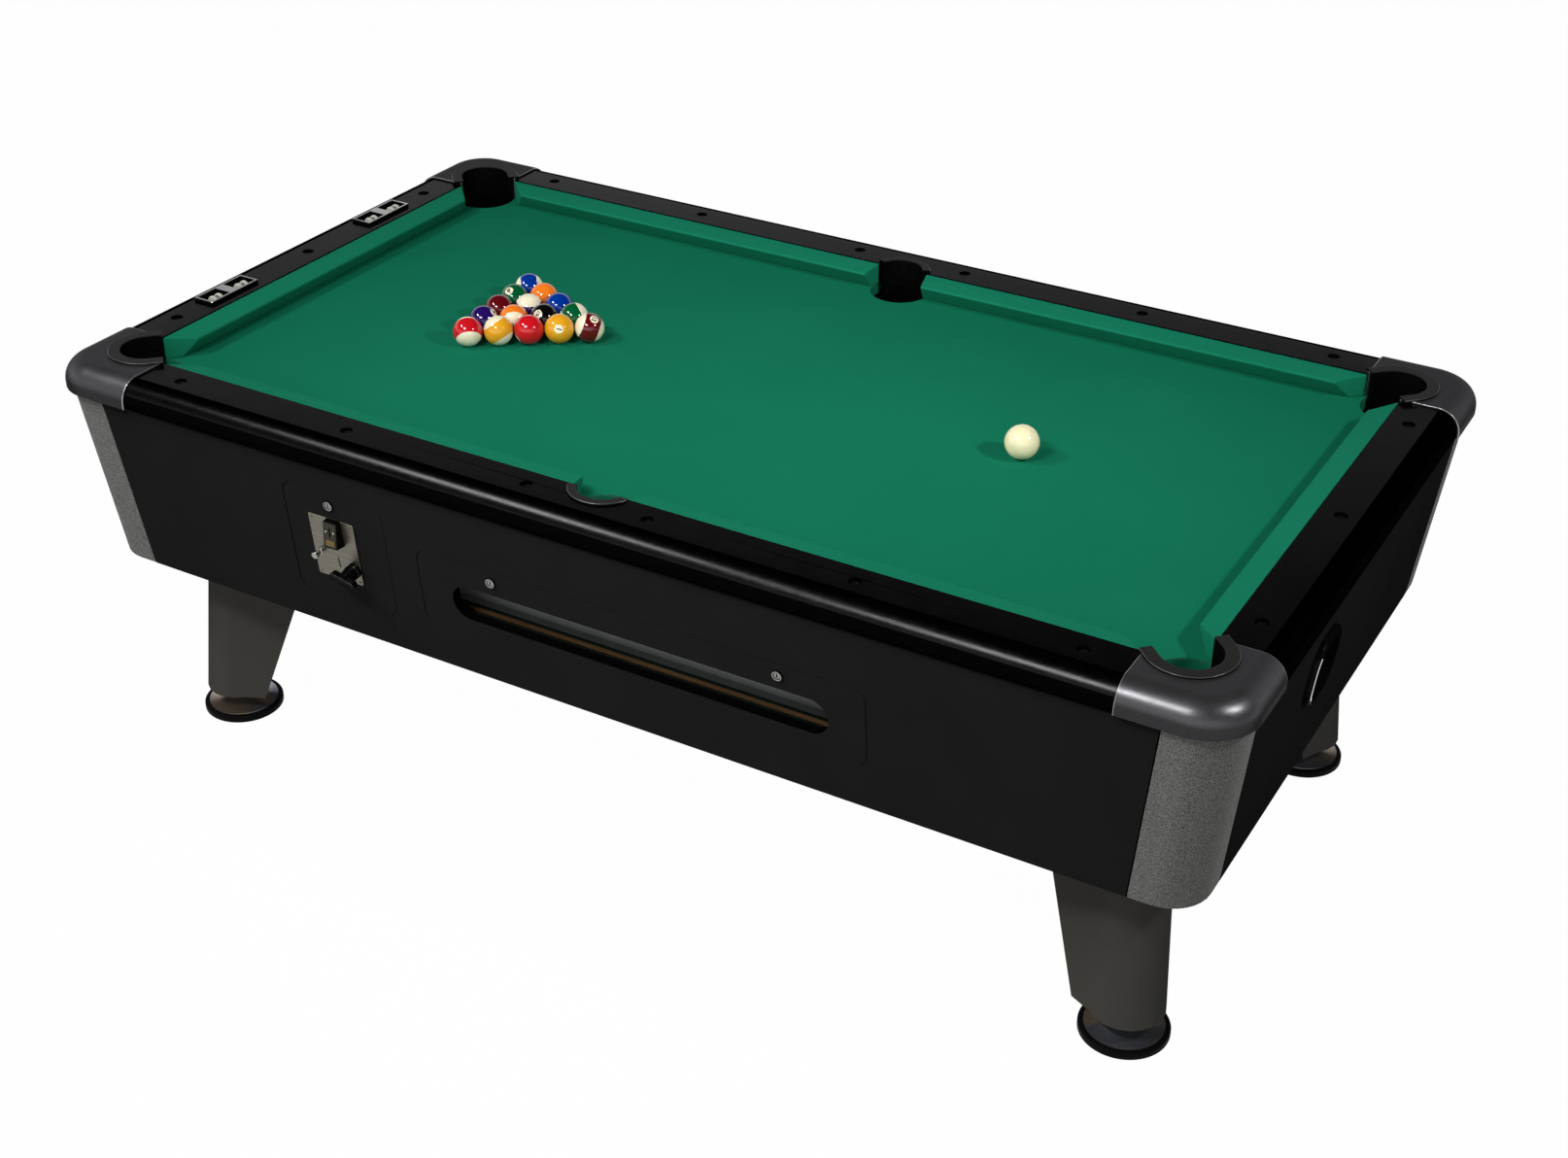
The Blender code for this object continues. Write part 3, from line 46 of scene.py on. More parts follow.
# the table's own lines, in metres, as the solids have them
table = {
    "railTop": 0.775, "castingTop": 0.779, "clothTop": 0.7315, "slateBottom": 0.708,
    "lineX": 1.011, "lineY": 0.530, "castingX": 1.120, "castingY": 0.639,
    "jointX": 0.931, "jointY": 0.450, "slateX": 1.081, "slateY": 0.600,
    "pocketX": 0.992, "pocketY": 0.506, "sidePocketY": 0.508, "sideShift": 0.009, "sideWidth": 0.056,
    "footX": 0.936, "footY": 0.4445, "gap": 0.0003,
}
corners = {"front_left": (-1, -1), "front_right": (1, -1), "back_right": (1, 1), "back_left": (-1, 1)}


def shift(x, y, z=0):
    return Matrix.Translation((x, y, z))


panelTilt = math.atan2(0.035, 0.3407)
nearPanel = shift(0, -0.590, 0.385) @ Matrix.Rotation(math.pi / 2 + panelTilt, 4, "X")
coinPlate = nearPanel @ shift(-0.4985, 0.1774)


# camera at the photograph's place
def makeCamera():
    view = {"place": (1.79751, -3.09611, 2.47713), "turn": (59.15594, -0.45185, 29.85018), "lens": 50.948}
    camera = bpy.data.objects.new("camera", bpy.data.cameras.new("camera"))
    camera.location = view["place"]
    camera.rotation_euler = [math.radians(angle) for angle in view["turn"]]
    camera.data.lens = view["lens"]
    camera.data.sensor_width = 36
    camera.data.sensor_fit = "HORIZONTAL"
    camera.data.clip_end = 400
    scene.collection.objects.link(camera)
    scene.camera = camera


# finishes
sockets = {
    "metallic": "Metallic", "specular": "Specular IOR Level",
    "coat": "Coat Weight", "coatRoughness": "Coat Roughness",
}


def rgb(shade):   # a grey may be given as one number
    return shade if isinstance(shade, tuple) else (shade, shade, shade)


def addNode(owner, kind, **values):
    node = owner.node_tree.nodes.new("ShaderNode" + kind)
    for name, value in values.items():
        if name in ("attribute_name", "blend_type", "data_type", "operation"):
            setattr(node, name, value)
        else:
            node.inputs[name].default_value = value
    return node


def link(owner, source, target):
    owner.node_tree.links.new(source, target)


def shaderOf(finish):
    return finish.node_tree.nodes["Principled BSDF"]


def surfaceCoords(finish, stretch=(1, 1, 1)):   # object coordinates, stretched along the grain
    mapping = addNode(finish, "Mapping", Scale=stretch)
    link(finish, addNode(finish, "TexCoord").outputs["Object"], mapping.inputs["Vector"])
    return mapping.outputs["Vector"]


def noiseOn(finish, scale, detail, rough=0.5, stretch=(1, 1, 1)):
    noise = addNode(finish, "TexNoise", Scale=scale, Detail=detail, Roughness=rough)
    link(finish, surfaceCoords(finish, stretch), noise.inputs["Vector"])
    return noise.outputs["Fac"]


def spread(owner, source, low, high, fromLow=0.3, fromHigh=0.7):
    limits = {"From Min": fromLow, "From Max": fromHigh, "To Min": low, "To Max": high}
    span = addNode(owner, "MapRange", **limits)
    link(owner, source, span.inputs["Value"])
    return span.outputs["Result"]


def shadesOf(owner, source, stops):   # stops are positions and shades
    ramp = addNode(owner, "ValToRGB")
    steps = ramp.color_ramp.elements
    while len(steps) < len(stops):
        steps.new(0.5)
    for step, (position, shade) in zip(steps, stops):
        step.position = position
        step.color = (*rgb(shade), 1)
    link(owner, source, ramp.inputs["Fac"])
    return ramp.outputs["Color"]


def tint(finish, source, dark, light, fromLow=0.3, fromHigh=0.7):
    shades = shadesOf(finish, source, [(fromLow, dark), (fromHigh, light)])
    link(finish, shades, shaderOf(finish).inputs["Base Color"])


def bump(finish, source, strength, depth):
    relief = addNode(finish, "Bump", Strength=strength, Distance=depth)
    link(finish, source, relief.inputs["Height"])
    normal = shaderOf(finish).inputs["Normal"]
    if normal.is_linked:
        link(finish, normal.links[0].from_socket, relief.inputs["Normal"])
    link(finish, relief.outputs["Normal"], normal)


def makeFinish(name, colour, roughness, specularTint=1.0, tinted=None, varied=None, bumps=(), **settings):
    finish = bpy.data.materials.new(name)
    finish.use_nodes = True
    inputs = shaderOf(finish).inputs
    inputs["Base Color"].default_value = (*rgb(colour), 1)
    inputs["Roughness"].default_value = roughness
    inputs["Specular Tint"].default_value = (*rgb(specularTint), 1)
    for setting, value in settings.items():
        inputs[sockets[setting]].default_value = value
    if tinted:
        noise, *shades = tinted
        tint(finish, noiseOn(finish, *noise), *shades)
    if varied:
        noise, low, high = varied
        link(finish, spread(finish, noiseOn(finish, *noise), low, high), inputs["Roughness"])
    for noise, strength, depth in bumps:
        bump(finish, noiseOn(finish, *noise), strength, depth)
    return finish


def shadeOf(value):   # an sRGB value of 0 to 255 as linear light
    part = value / 255
    return part / 12.92 if part <= 0.04045 else ((part + 0.055) / 1.055) ** 2.4


inky = {"specular": 0.02, "specularTint": 0.0}   # a glossy black that stays dark at a low angle
felt = [((900, 3), 0.3, 0.0006)]
lipGrain = [((800, 3, 0.6), 0.14, 0.0005)]
alongPlate = (0.15, 9, 9)
recipes = {   # noise is scale, detail, roughness and stretch
    "laminate": dict(
        colour=(0.0162, 0.0162, 0.0159), roughness=0.55, specular=0.0, varied=((40, 3), 0.52, 0.62),
        tinted=((9, 4), (0.0153, 0.0153, 0.0150), (0.0171, 0.0171, 0.0168)),
        bumps=[((900, 2), 0.05, 0.0004)]),
    "railTop": dict(
        colour=(0.0007, 0.0007, 0.00066), roughness=0.19, specular=0.05, varied=((25, 4), 0.17, 0.22),
        bumps=[((1100, 2), 0.04, 0.0004)]),
    "railNose": dict(
        colour=0.018, roughness=0.22, metallic=1.0, **inky, varied=((60, 3), 0.20, 0.25),
        bumps=[((1000, 2, 0.6), 0.24, 0.0004)]),
    # a dull black used as painted shade on the rails' undersides, the panel seams and the slot walls
    "paintedShadeBlack": dict(colour=0.0016, roughness=0.6, specular=0.0, bumps=[((1000, 2, 0.6), 0.1, 0.0004)]),
    "gunmetal": dict(
        colour=(0.135, 0.135, 0.143), roughness=0.35, metallic=0.85, specular=0.2,
        tinted=((1000, 2), (0.098, 0.098, 0.104), (0.170, 0.170, 0.178)), varied=((30, 3), 0.31, 0.38),
        specularTint=(0.2, 0.2, 0.21), bumps=[((1300, 2), 0.16, 0.0004)]),
    # a lighter metal painted on the castings' joint arrises as a highlight
    "paintedHighlightEdge": dict(colour=(0.38, 0.38, 0.39), roughness=0.28, metallic=0.85, varied=((200, 3), 0.24, 0.34)),
    "hammered": dict(
        colour=(0.18, 0.179, 0.170), roughness=0.55, specular=0.02,
        tinted=((520, 2, 0.7), (0.080, 0.079, 0.075), (0.290, 0.289, 0.276), 0.36, 0.64)),
    "legGrey": dict(
        colour=(0.070, 0.068, 0.062), roughness=0.45, specular=0.0, bumps=[((900, 2), 0.08, 0.0004)],
        tinted=((500, 2), (0.063, 0.0612, 0.056), (0.077, 0.0748, 0.068))),
    # the foot's metal is patched blue-grey and brown as painted reflections
    "polished": dict(
        colour=(0.34, 0.33, 0.32), roughness=0.16, metallic=0.88, varied=((60, 3, 0.6), 0.13, 0.20),
        tinted=((11, 2), (0.30, 0.32, 0.37), (0.42, 0.34, 0.26), 0.42, 0.58)),
    "rubber": dict(colour=0.004, roughness=0.55, specular=0.03, bumps=[((900, 3), 0.10, 0.0004)]),
    "liner": dict(
        colour=0.008, roughness=0.32, metallic=0.75, **inky, varied=((90, 3), 0.28, 0.38), bumps=lipGrain),
    "linerLip": dict(colour=(0.014, 0.0138, 0.013), roughness=0.5, specular=0.10, bumps=lipGrain),
    # a lighter metal painted on the liner lip's far edge as a highlight
    "linerPaintedHighlight": dict(
        colour=(0.10, 0.10, 0.098), roughness=0.30, metallic=0.6, specular=0.3, varied=((90, 3), 0.26, 0.36)),
    "slate": dict(
        colour=(0.10, 0.10, 0.108), roughness=0.75, specular=0.3, bumps=[((200, 4), 0.2, 0.0006)],
        tinted=((14, 6, 0.6, (1, 1, 6)), (0.075, 0.076, 0.082), (0.12, 0.12, 0.128))),
    "plywood": dict(
        colour=(0.36, 0.22, 0.11), roughness=0.6, specular=0.3,
        bumps=[((160, 4, 0.5, (0.08, 1, 1)), 0.15, 0.0005)],
        tinted=((22, 5, 0.6, (0.12, 1.6, 1.6)), (0.28, 0.16, 0.075), (0.44, 0.29, 0.16))),
    "chrome": dict(colour=(0.56, 0.56, 0.57), roughness=0.09, metallic=1.0, varied=((300, 3), 0.07, 0.13)),
    "lockSteel": dict(
        colour=(0.30, 0.295, 0.29), roughness=0.16, metallic=1.0, varied=((300, 3), 0.12, 0.22)),
    "plateSteel": dict(
        colour=(0.165, 0.155, 0.125), roughness=0.38, metallic=0.9,
        tinted=((60, 4, 0.6, alongPlate), (0.125, 0.117, 0.094), (0.205, 0.194, 0.157)),
        varied=((80, 3, 0.5, alongPlate), 0.32, 0.45), bumps=[((120, 2, 0.5, (0.1, 9, 9)), 0.06, 0.0003)]),
    "caseSteel": dict(
        colour=(0.42, 0.42, 0.41), roughness=0.42, metallic=1.0,
        varied=((90, 3, 0.5, (0.2, 4, 4)), 0.36, 0.5)),
    "moulding": dict(
        colour=0.022, roughness=0.22, metallic=0.9, **inky, varied=((120, 3), 0.18, 0.28),
        bumps=[((900, 2), 0.04, 0.0003)]),
    "cup": dict(
        colour=0.004, roughness=0.4, specular=0.0, varied=((120, 3), 0.36, 0.46),
        bumps=[((900, 2), 0.05, 0.0003)]),
    "entryFace": dict(
        colour=(0.036, 0.032, 0.024), roughness=0.5, specular=0.15,
        tinted=((300, 3), (0.032, 0.028, 0.021), (0.040, 0.036, 0.027))),
    "entryTag": dict(
        colour=(0.16, 0.118, 0.036), roughness=0.55, specular=0.2,
        tinted=((260, 3), (0.14, 0.10, 0.030), (0.18, 0.134, 0.044))),
    "bolt": dict(colour=0.003, roughness=0.4, specular=0.12, varied=((200, 3), 0.34, 0.46)),
    "wheel": dict(
        colour=(0.58, 0.57, 0.50), roughness=0.4, tinted=((180, 3), (0.52, 0.51, 0.44), (0.62, 0.61, 0.54))),
    "wheelHub": dict(
        colour=(0.16, 0.16, 0.13), roughness=0.45,
        tinted=((220, 3), (0.13, 0.13, 0.105), (0.19, 0.19, 0.16))),
    "trayGrey": dict(
        colour=(0.25, 0.262, 0.259), roughness=0.6, specular=0.0, bumps=[((500, 2), 0.1, 0.0004)],
        tinted=((30, 4), (0.235, 0.247, 0.244), (0.265, 0.277, 0.274))),
    "trayGreen": dict(colour=(0.008, 0.022, 0.014), roughness=0.9, specular=0.1, bumps=felt),
    "trayFelt": dict(colour=(0.006, 0.010, 0.007), roughness=0.95, specular=0.1, bumps=felt),
    "trayWood": dict(
        colour=(0.11, 0.058, 0.022), roughness=0.5, specular=0.2,
        tinted=((30, 5, 0.6, (0.1, 2, 2)), (0.085, 0.043, 0.016), (0.14, 0.075, 0.03))),
    "ballInk": dict(colour=0.012, roughness=0.18),
}
weave = [((1500, 2, 0.6), 0.18, 0.0005), ((420, 2, 0.5, (1, 0.25, 1)), 0.06, 0.0005)]
# the cushion cloth is the bed cloth painted lighter, as painted sheen on the cushion tops
cloths = {
    "bedCloth": ((0.0058, 0.163, 0.087), (0.0066, 0.172, 0.093)),
    "cushionCloth": ((0.0076, 0.182, 0.100), (0.0085, 0.192, 0.106)),
}
for name, (deep, pale) in cloths.items():
    recipes[name] = dict(
        colour=pale, roughness=0.95, specular=0.02, bumps=weave,
        tinted=((3.5, 5, 0.55), deep, pale, 0.35, 0.65))
ballPaints = {
    "Ivory": (242, 234, 204), "Cue": (242, 234, 190), "Red": (200, 20, 32), "Yellow": (230, 162, 30),
    "Maroon": (96, 8, 16), "Purple": (34, 12, 92), "Orange": (248, 126, 32), "Black": (8, 8, 9),
    "Green": (0, 88, 46), "Blue": (0, 50, 148),
}
for name, paint in ballPaints.items():
    base = tuple(shadeOf(value) for value in paint)
    deep, pale = (tuple(share * value for value in base) for share in (0.95, 1.03))
    recipes["ball" + name] = dict(
        colour=base, roughness=0.06, coat=0.3, coatRoughness=0.03, tinted=((40, 2), deep, pale))


def makeFinishes():
    finishes = {name: makeFinish(name, **recipe) for name, recipe in recipes.items()}

    hammered = finishes["hammered"]
    cells = addNode(hammered, "TexVoronoi", Scale=520)
    link(hammered, surfaceCoords(hammered), cells.inputs["Vector"])
    bump(hammered, cells.outputs["Distance"], 0.5, 0.0010)

    gunmetal = finishes["gunmetal"]
    turn = addNode(gunmetal, "Attribute", attribute_name="turn")   # painted shade: the colour darkens where the surface turns below the horizontal
    paintedShade = addNode(gunmetal, "Mix", data_type="RGBA", blend_type="MULTIPLY")
    paintedShade.inputs[0].default_value = 1.0
    base = shaderOf(gunmetal).inputs["Base Color"]
    link(gunmetal, base.links[0].from_socket, paintedShade.inputs[6])
    link(gunmetal, spread(gunmetal, turn.outputs["Fac"], 0.28, 1.0, 0.2, 0.62), paintedShade.inputs[7])
    link(gunmetal, paintedShade.outputs[2], base)
    print("finishes:", len(finishes))
    return finishes


finishes = makeFinishes()


# shaping helpers
def flatten(bm, angle):   # joins faces that lie in one plane
    bmesh.ops.dissolve_limit(bm, angle_limit=math.radians(angle), verts=bm.verts, edges=bm.edges)


def takeNode(name, edge=0, angle=50, segments=2):   # a merged copy of a CAD node, with its edges rounded
    bm = bmesh.new()
    bm.from_mesh(nodes[name].data)
    bmesh.ops.remove_doubles(bm, verts=bm.verts, dist=0.00001)
    flatten(bm, 0.6)
    if edge:
        roundEdges(bm, edge, segments, angle)
    return bm


def roundEdges(bm, width, segments, angle, chosen=None, clamp=True):
    sharp = []
    for edge in bm.edges:
        if edge.is_manifold and edge.calc_face_angle(0) > math.radians(angle):
            if chosen is None or chosen(edge):
                sharp.append(edge)
    bmesh.ops.bevel(
        bm, geom=sharp, offset=width, offset_type="OFFSET", segments=segments, profile=0.5,
        affect="EDGES", clamp_overlap=clamp, material=-1,
    )


def spinProfile(points, steps, place=None, closed=False):   # (radius, height) points turned about z
    bm = bmesh.new()
    verts = [bm.verts.new((radius, 0, height)) for radius, height in points]
    edges = [bm.edges.new(pair) for pair in zip(verts, verts[1:])]
    if closed:
        edges.append(bm.edges.new((verts[-1], verts[0])))
    bmesh.ops.spin(
        bm, geom=verts + edges, cent=(0, 0, 0), axis=(0, 0, 1), angle=2 * math.pi, steps=steps, use_merge=True
    )
    bmesh.ops.remove_doubles(bm, verts=bm.verts, dist=0.000001)
    bmesh.ops.recalc_face_normals(bm, faces=bm.faces)
    if place:
        bm.transform(place)
    return bm


def arcPoints(centre, radius, start, end, steps):
    points = []
    for step in range(steps + 1):
        angle = math.radians(start + (end - start) * step / steps)
        points.append((centre[0] + radius * math.cos(angle), centre[1] + radius * math.sin(angle)))
    return points


def slotPoints(left, right, half, steps):   # a bar's outline with round ends
    return arcPoints((left, 0), half, 90, 270, steps) + arcPoints((right, 0), half, -90, 90, steps)


def raiseOutline(points, low, high):
    bm = bmesh.new()
    face = bm.faces.new([bm.verts.new((x, y, low)) for x, y in points])
    grown = bmesh.ops.extrude_face_region(bm, geom=[face])["geom"]
    top = [item for item in grown if isinstance(item, bmesh.types.BMVert)]
    bmesh.ops.translate(bm, verts=top, vec=(0, 0, high - low))
    bmesh.ops.recalc_face_normals(bm, faces=bm.faces)
    return bm


def block(low, high, place=None):
    bm = bmesh.new()
    bmesh.ops.create_cube(bm, size=1)
    bmesh.ops.scale(bm, vec=Vector(high) - Vector(low), verts=bm.verts)
    bmesh.ops.translate(bm, vec=(Vector(high) + Vector(low)) / 2, verts=bm.verts)
    if place:
        bm.transform(place)
    return bm


def meshFrom(bm, name):
    mesh = bpy.data.meshes.new(name)
    bm.to_mesh(mesh)
    bm.free()
    return mesh


def joinShapes(shapes):
    whole = bmesh.new()
    for shape in shapes:
        mesh = meshFrom(shape, "shape")
        whole.from_mesh(mesh)
        bpy.data.meshes.remove(mesh)
    return whole


def carve(bm, cutters):   # takes the cutters away from a closed shape
    body = bpy.data.objects.new("carved", meshFrom(bm, "carved"))
    scene.collection.objects.link(body)
    tools = []
    for index, cutter in enumerate(cutters):
        tool = bpy.data.objects.new("cutter", meshFrom(cutter, "cutter"))
        scene.collection.objects.link(tool)
        modifier = body.modifiers.new("cut" + str(index), "BOOLEAN")
        modifier.operation = "DIFFERENCE"
        modifier.solver = "EXACT"
        modifier.object = tool
        tools.append(tool)
    bpy.context.view_layer.update()
    result = bmesh.new()
    result.from_object(body, bpy.context.evaluated_depsgraph_get())
    for item in [body] + tools:
        mesh = item.data
        bpy.data.objects.remove(item)
        bpy.data.meshes.remove(mesh)
    bmesh.ops.remove_doubles(result, verts=result.verts, dist=0.000005)
    return result


def addPiece(name, bm, finish, replaced=None, body="table", sharp=35):
    mesh = meshFrom(bm, name)
    for material in finish if isinstance(finish, list) else [finish]:
        mesh.materials.append(finishes[material])
    mesh.shade_smooth()
    mesh.set_sharp_from_angle(angle=math.radians(sharp))
    piece = bpy.data.objects.new(name, mesh)
    scene.collection.objects.link(piece)
    weighted = piece.modifiers.new("weighted", "WEIGHTED_NORMAL")
    weighted.keep_sharp = True
    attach(piece, body)
    if replaced:
        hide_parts(replaced)
    return piece


def cornerPocket(signX, signY):   # a corner pocket's place, with x pointing out of the table
    turn = Matrix.Rotation(math.atan2(signY, signX), 4, "Z")
    return shift(signX * table["pocketX"], signY * table["pocketY"]) @ turn


def shiftSidePockets(bm, low, high, mouth=None):   # the side pockets stand further out than in the solids
    for vert in bm.verts:
        reach = abs(vert.co.y)
        if abs(vert.co.x) > table["sideWidth"]:
            continue
        if low < reach < high:
            vert.co.y += math.copysign(table["sideShift"], vert.co.y)
        elif mouth and abs(reach - table["lineY"]) < 0.001:
            vert.co.x = math.copysign(mouth, vert.co.x)


# cabinet: panels, doors, corner trims
def makeCabinet():
    cabinet = {"edge": 0.0008, "panelEdge": 0.0018, "trimEdge": 0.0012, "slotInset": 0.02}
    inset = cabinet["slotInset"]
    for side in ("near", "far", "left", "right"):
        bm = takeNode(side + "_panel")
        upright = lambda edge: abs(edge.verts[0].co.z - edge.verts[1].co.z) > 0.25
        roundEdges(bm, cabinet["panelEdge"], 2, 60, upright)
        roundEdges(bm, cabinet["edge"], 2, 60, lambda edge: not upright(edge))
        for face in bm.faces:   # the seams beside the trims and doors are painted dark as shade
            across = face.normal.x if side in ("near", "far") else face.normal.y
            face.material_index = int(abs(across) > 0.3)
        addPiece(side + "Panel", bm, ["laminate", "paintedShadeBlack"], side + "_panel")
    for door in ("coin", "ball"):
        node = door + "_door"
        bm = takeNode(node, cabinet["edge"], 60)
        low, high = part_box(node)
        for face in bm.faces:   # the walls of the slot are painted dark as shade
            middle = face.calc_center_median()
            inner = all(low[axis] + inset < middle[axis] < high[axis] - inset for axis in (0, 2))
            face.material_index = int(inner and abs(face.normal.y) < 0.6)
        addPiece(door + "DoorLeaf", bm, ["laminate", "paintedShadeBlack"], node, body=node)
    for name in corners:
        bm = takeNode(name + "_corner_trim", cabinet["trimEdge"], 60)
        addPiece(name + "_trim", bm, "hammered", name + "_corner_trim")
    print("cabinet: panels, doors and trims")


# rails with a matt top and a grained, glossy rounded edge, whose lower part is painted dull black as shade
def makeRails():
    rail = {"edge": 0.0007, "turn": 0.48, "mouth": 0.0461}
    for side in ("near", "far", "left", "right"):
        bm = takeNode(side + "_rail")
        shiftSidePockets(bm, table["lineY"] + 0.001, 0.7, rail["mouth"])
        roundEdges(bm, rail["edge"], 2, 50)
        # below the turn the rounded edge is painted dull black as shade, so it shows no reflection
        for face in bm.faces:
            flat = face.normal.z > 0.999 and face.calc_center_median().z > table["railTop"] - 0.001
            face.material_index = 0 if flat else 1 if face.normal.z > rail["turn"] else 2
        addPiece(side + "Rail", bm, ["railTop", "railNose", "paintedShadeBlack"], side + "_rail")
    print("rails: 4")


# bolts sunk in the rails' counterbores
def makeBolts():
    bolt = {"radius": 0.0098, "top": 0.7696, "foot": 0.7673, "dish": 0.0062, "ease": 0.0012, "steps": 28,
            "pastLine": 0.039, "alongX": (0.1157, 0.4852, 0.8547), "alongY": (-0.3695, 0, 0.3695)}
    places = []
    for distance in bolt["alongX"]:
        for sign, side in corners.values():
            places.append((sign * distance, side * (table["lineY"] + bolt["pastLine"])))
    for along in bolt["alongY"]:
        for side in (-1, 1):
            places.append((side * (table["lineX"] + bolt["pastLine"]), along))
    radius, top, dish, ease = bolt["radius"], bolt["top"], bolt["dish"], bolt["ease"]
    profile = [(0, top - 0.0022), (dish * 0.55, top - 0.0020), (dish, top - 0.0006), (dish + 0.0008, top)]
    profile += [(radius - ease, top)] + arcPoints((radius - ease, top - ease), ease, 90, 0, 3)
    profile += [(radius, bolt["foot"]), (0, bolt["foot"])]
    shapes = [spinProfile(profile, bolt["steps"], shift(x, y)) for x, y in places]
    # the bolt heads are painted near black as the shade in the counterbores
    addPiece("railBolts", joinShapes(shapes), "bolt")
    print("rail bolts:", len(places))


# corner castings, rounder than the solids
def makeCastings():
    casting = {"radius": 0.088, "nose": 0.041, "lift": 0.728, "arcSteps": 28, "noseSteps": 14, "edge": 0.0014,
               "notch": 0.0518, "reach": 0.19, "slateRoom": 0.0015, "below": 0.6, "above": 0.9}
    radius, reach, notchRadius = casting["radius"], casting["reach"], casting["notch"]
    lineX, lineY, jointX, jointY = table["lineX"], table["lineY"], table["jointX"], table["jointY"]
    outline = [(lineX, lineY), (jointX, lineY), (jointX, table["castingY"])]
    centre = (table["castingX"] - radius, table["castingY"] - radius)
    outline += arcPoints(centre, radius, 90, 0, casting["arcSteps"])
    outline += [(table["castingX"], jointY), (lineX, jointY)]

    def onOuterTop(edge):
        middle = (edge.verts[0].co + edge.verts[1].co) / 2
        x, y, z = abs(middle.x) - 0.001, abs(middle.y) - 0.001, middle.z + 0.001
        return z > table["castingTop"] and x > jointX and y > jointY and (x > lineX or y > lineY)

    for name, (signX, signY) in corners.items():
        bm = raiseOutline([(signX * x, signY * y) for x, y in outline], casting["lift"], table["castingTop"])
        roundEdges(bm, casting["nose"], casting["noseSteps"], 60, onOuterTop)
        roomX, roomY = table["slateX"] + casting["slateRoom"], table["slateY"] + casting["slateRoom"]
        roomTop = table["clothTop"] + table["gap"]
        slateRoom = block((-roomX, -roomY, casting["below"]), (roomX, roomY, roomTop))
        notch = arcPoints((0, 0), notchRadius, 90, -90, 40) + [(-reach, -notchRadius), (-reach, notchRadius)]
        pocketRoom = raiseOutline(notch, casting["below"], casting["above"])
        pocketRoom.transform(cornerPocket(signX, signY))
        bm = carve(bm, [slateRoom, pocketRoom])
        flatten(bm, 0.3)
        roundEdges(bm, casting["edge"], 3, 50, clamp=False)
        for face in bm.faces:   # the arris at each joint with a rail is painted lighter as a highlight
            middle = face.calc_center_median()
            atX = abs(middle.x) < jointX + 0.0020 and 0.2 < -signX * face.normal.x < 0.97
            atY = abs(middle.y) < jointY + 0.0020 and 0.2 < -signY * face.normal.y < 0.97
            face.material_index = int(atX or atY)
        # each point keeps its normal's height, which the gunmetal uses to paint shade on the lower faces
        turn = bm.verts.layers.float.new("turn")
        for vert in bm.verts:
            vert[turn] = vert.normal.z
        addPiece(name + "_cap", bm, ["gunmetal", "paintedHighlightEdge"], name + "_casting", sharp=40)
    print("castings: 4")


# pocket liners: a grained lip on the rail, a wall and a round drop tube
def makeLiners():
    liner = {"wall": 0.0035, "lip": 0.0035, "steps": 44, "below": 0.012, "tubeWall": 0.007,
             "tubeDepth": 0.037, "tubeGap": 0.003, "tubeSteps": 48}
    cornerLiner = (0.048, 0.022, table["castingTop"], 90, 0.026)   # radius, lip, seat, half angle, arm
    sideLiner = (0.044, 0.016, table["railTop"], 69, 0)
    places = {}
    for name, (signX, signY) in corners.items():
        places[name] = (cornerPocket(signX, signY), *cornerLiner)
    for name, sign in (("near_side", -1), ("far_side", 1)):
        turn = Matrix.Rotation(sign * math.pi / 2, 4, "Z")
        place = shift(0, sign * (table["sidePocketY"] + table["sideShift"])) @ turn
        places[name] = (place, *sideLiner)
    for name, (place, radius, lipWidth, rest, halfAngle, arm) in places.items():
        seat = rest + table["gap"]
        top = seat + liner["lip"]
        bottom = table["slateBottom"] - liner["below"]
        ease = liner["lip"] * 0.5
        profile = [(radius, bottom)] + arcPoints((radius + ease, top - ease), ease, 180, 90, 4)
        profile += arcPoints((radius + lipWidth - ease, top - ease), ease, 90, 0, 4)
        wall = radius + liner["wall"]
        profile += [(radius + lipWidth, seat), (wall, seat), (wall, bottom)]
        bm = bmesh.new()
        verts = [bm.verts.new((out, 0, height)) for out, height in profile]
        edges = [bm.edges.new((verts[index - 1], verts[index])) for index in range(len(verts))]
        start = Matrix.Rotation(-math.radians(halfAngle), 3, "Z")
        bmesh.ops.rotate(bm, verts=verts, cent=(0, 0, 0), matrix=start)
        swept = bmesh.ops.spin(
            bm, geom=verts + edges, cent=(0, 0, 0), axis=(0, 0, 1), angle=2 * math.radians(halfAngle),
            steps=liner["steps"],
        )["geom_last"]
        ends = [edges, [item for item in swept if isinstance(item, bmesh.types.BMEdge)]]
        if arm:
            for loop in ends:
                grown = bmesh.ops.extrude_edge_only(bm, edges=loop)["geom"]
                moved = [item for item in grown if isinstance(item, bmesh.types.BMVert)]
                bmesh.ops.translate(bm, verts=moved, vec=(-arm, 0, 0))
        bmesh.ops.holes_fill(bm, edges=bm.edges, sides=0)
        bmesh.ops.recalc_face_normals(bm, faces=bm.faces)
        # the far outer edge of the lip is painted lighter as a highlight
        for face in bm.faces:
            middle = face.calc_center_median()
            far = middle.x < 0 and abs(middle.y) > radius + lipWidth - ease
            far = far or math.hypot(middle.x, middle.y) > radius + lipWidth - ease
            onLip = face.normal.z > 0.2 and middle.z > seat
            face.material_index = 2 if onLip and far and face.normal.z < 0.93 else 1 if onLip else 0
        inner = radius + 0.0006
        outer = inner + liner["tubeWall"]
        high = table["slateBottom"] - liner["tubeGap"]
        low = high - liner["tubeDepth"]
        ring = [(inner, high), (outer, high), (outer, low), (inner, low)]
        bm = joinShapes([bm, spinProfile(ring, liner["tubeSteps"], closed=True)])
        bm.transform(place)
        finish = ["liner", "linerLip", "linerPaintedHighlight"]
        addPiece(name + "_liner", bm, finish, name + "_pocket_liner")
    print("pocket liners:", len(places))


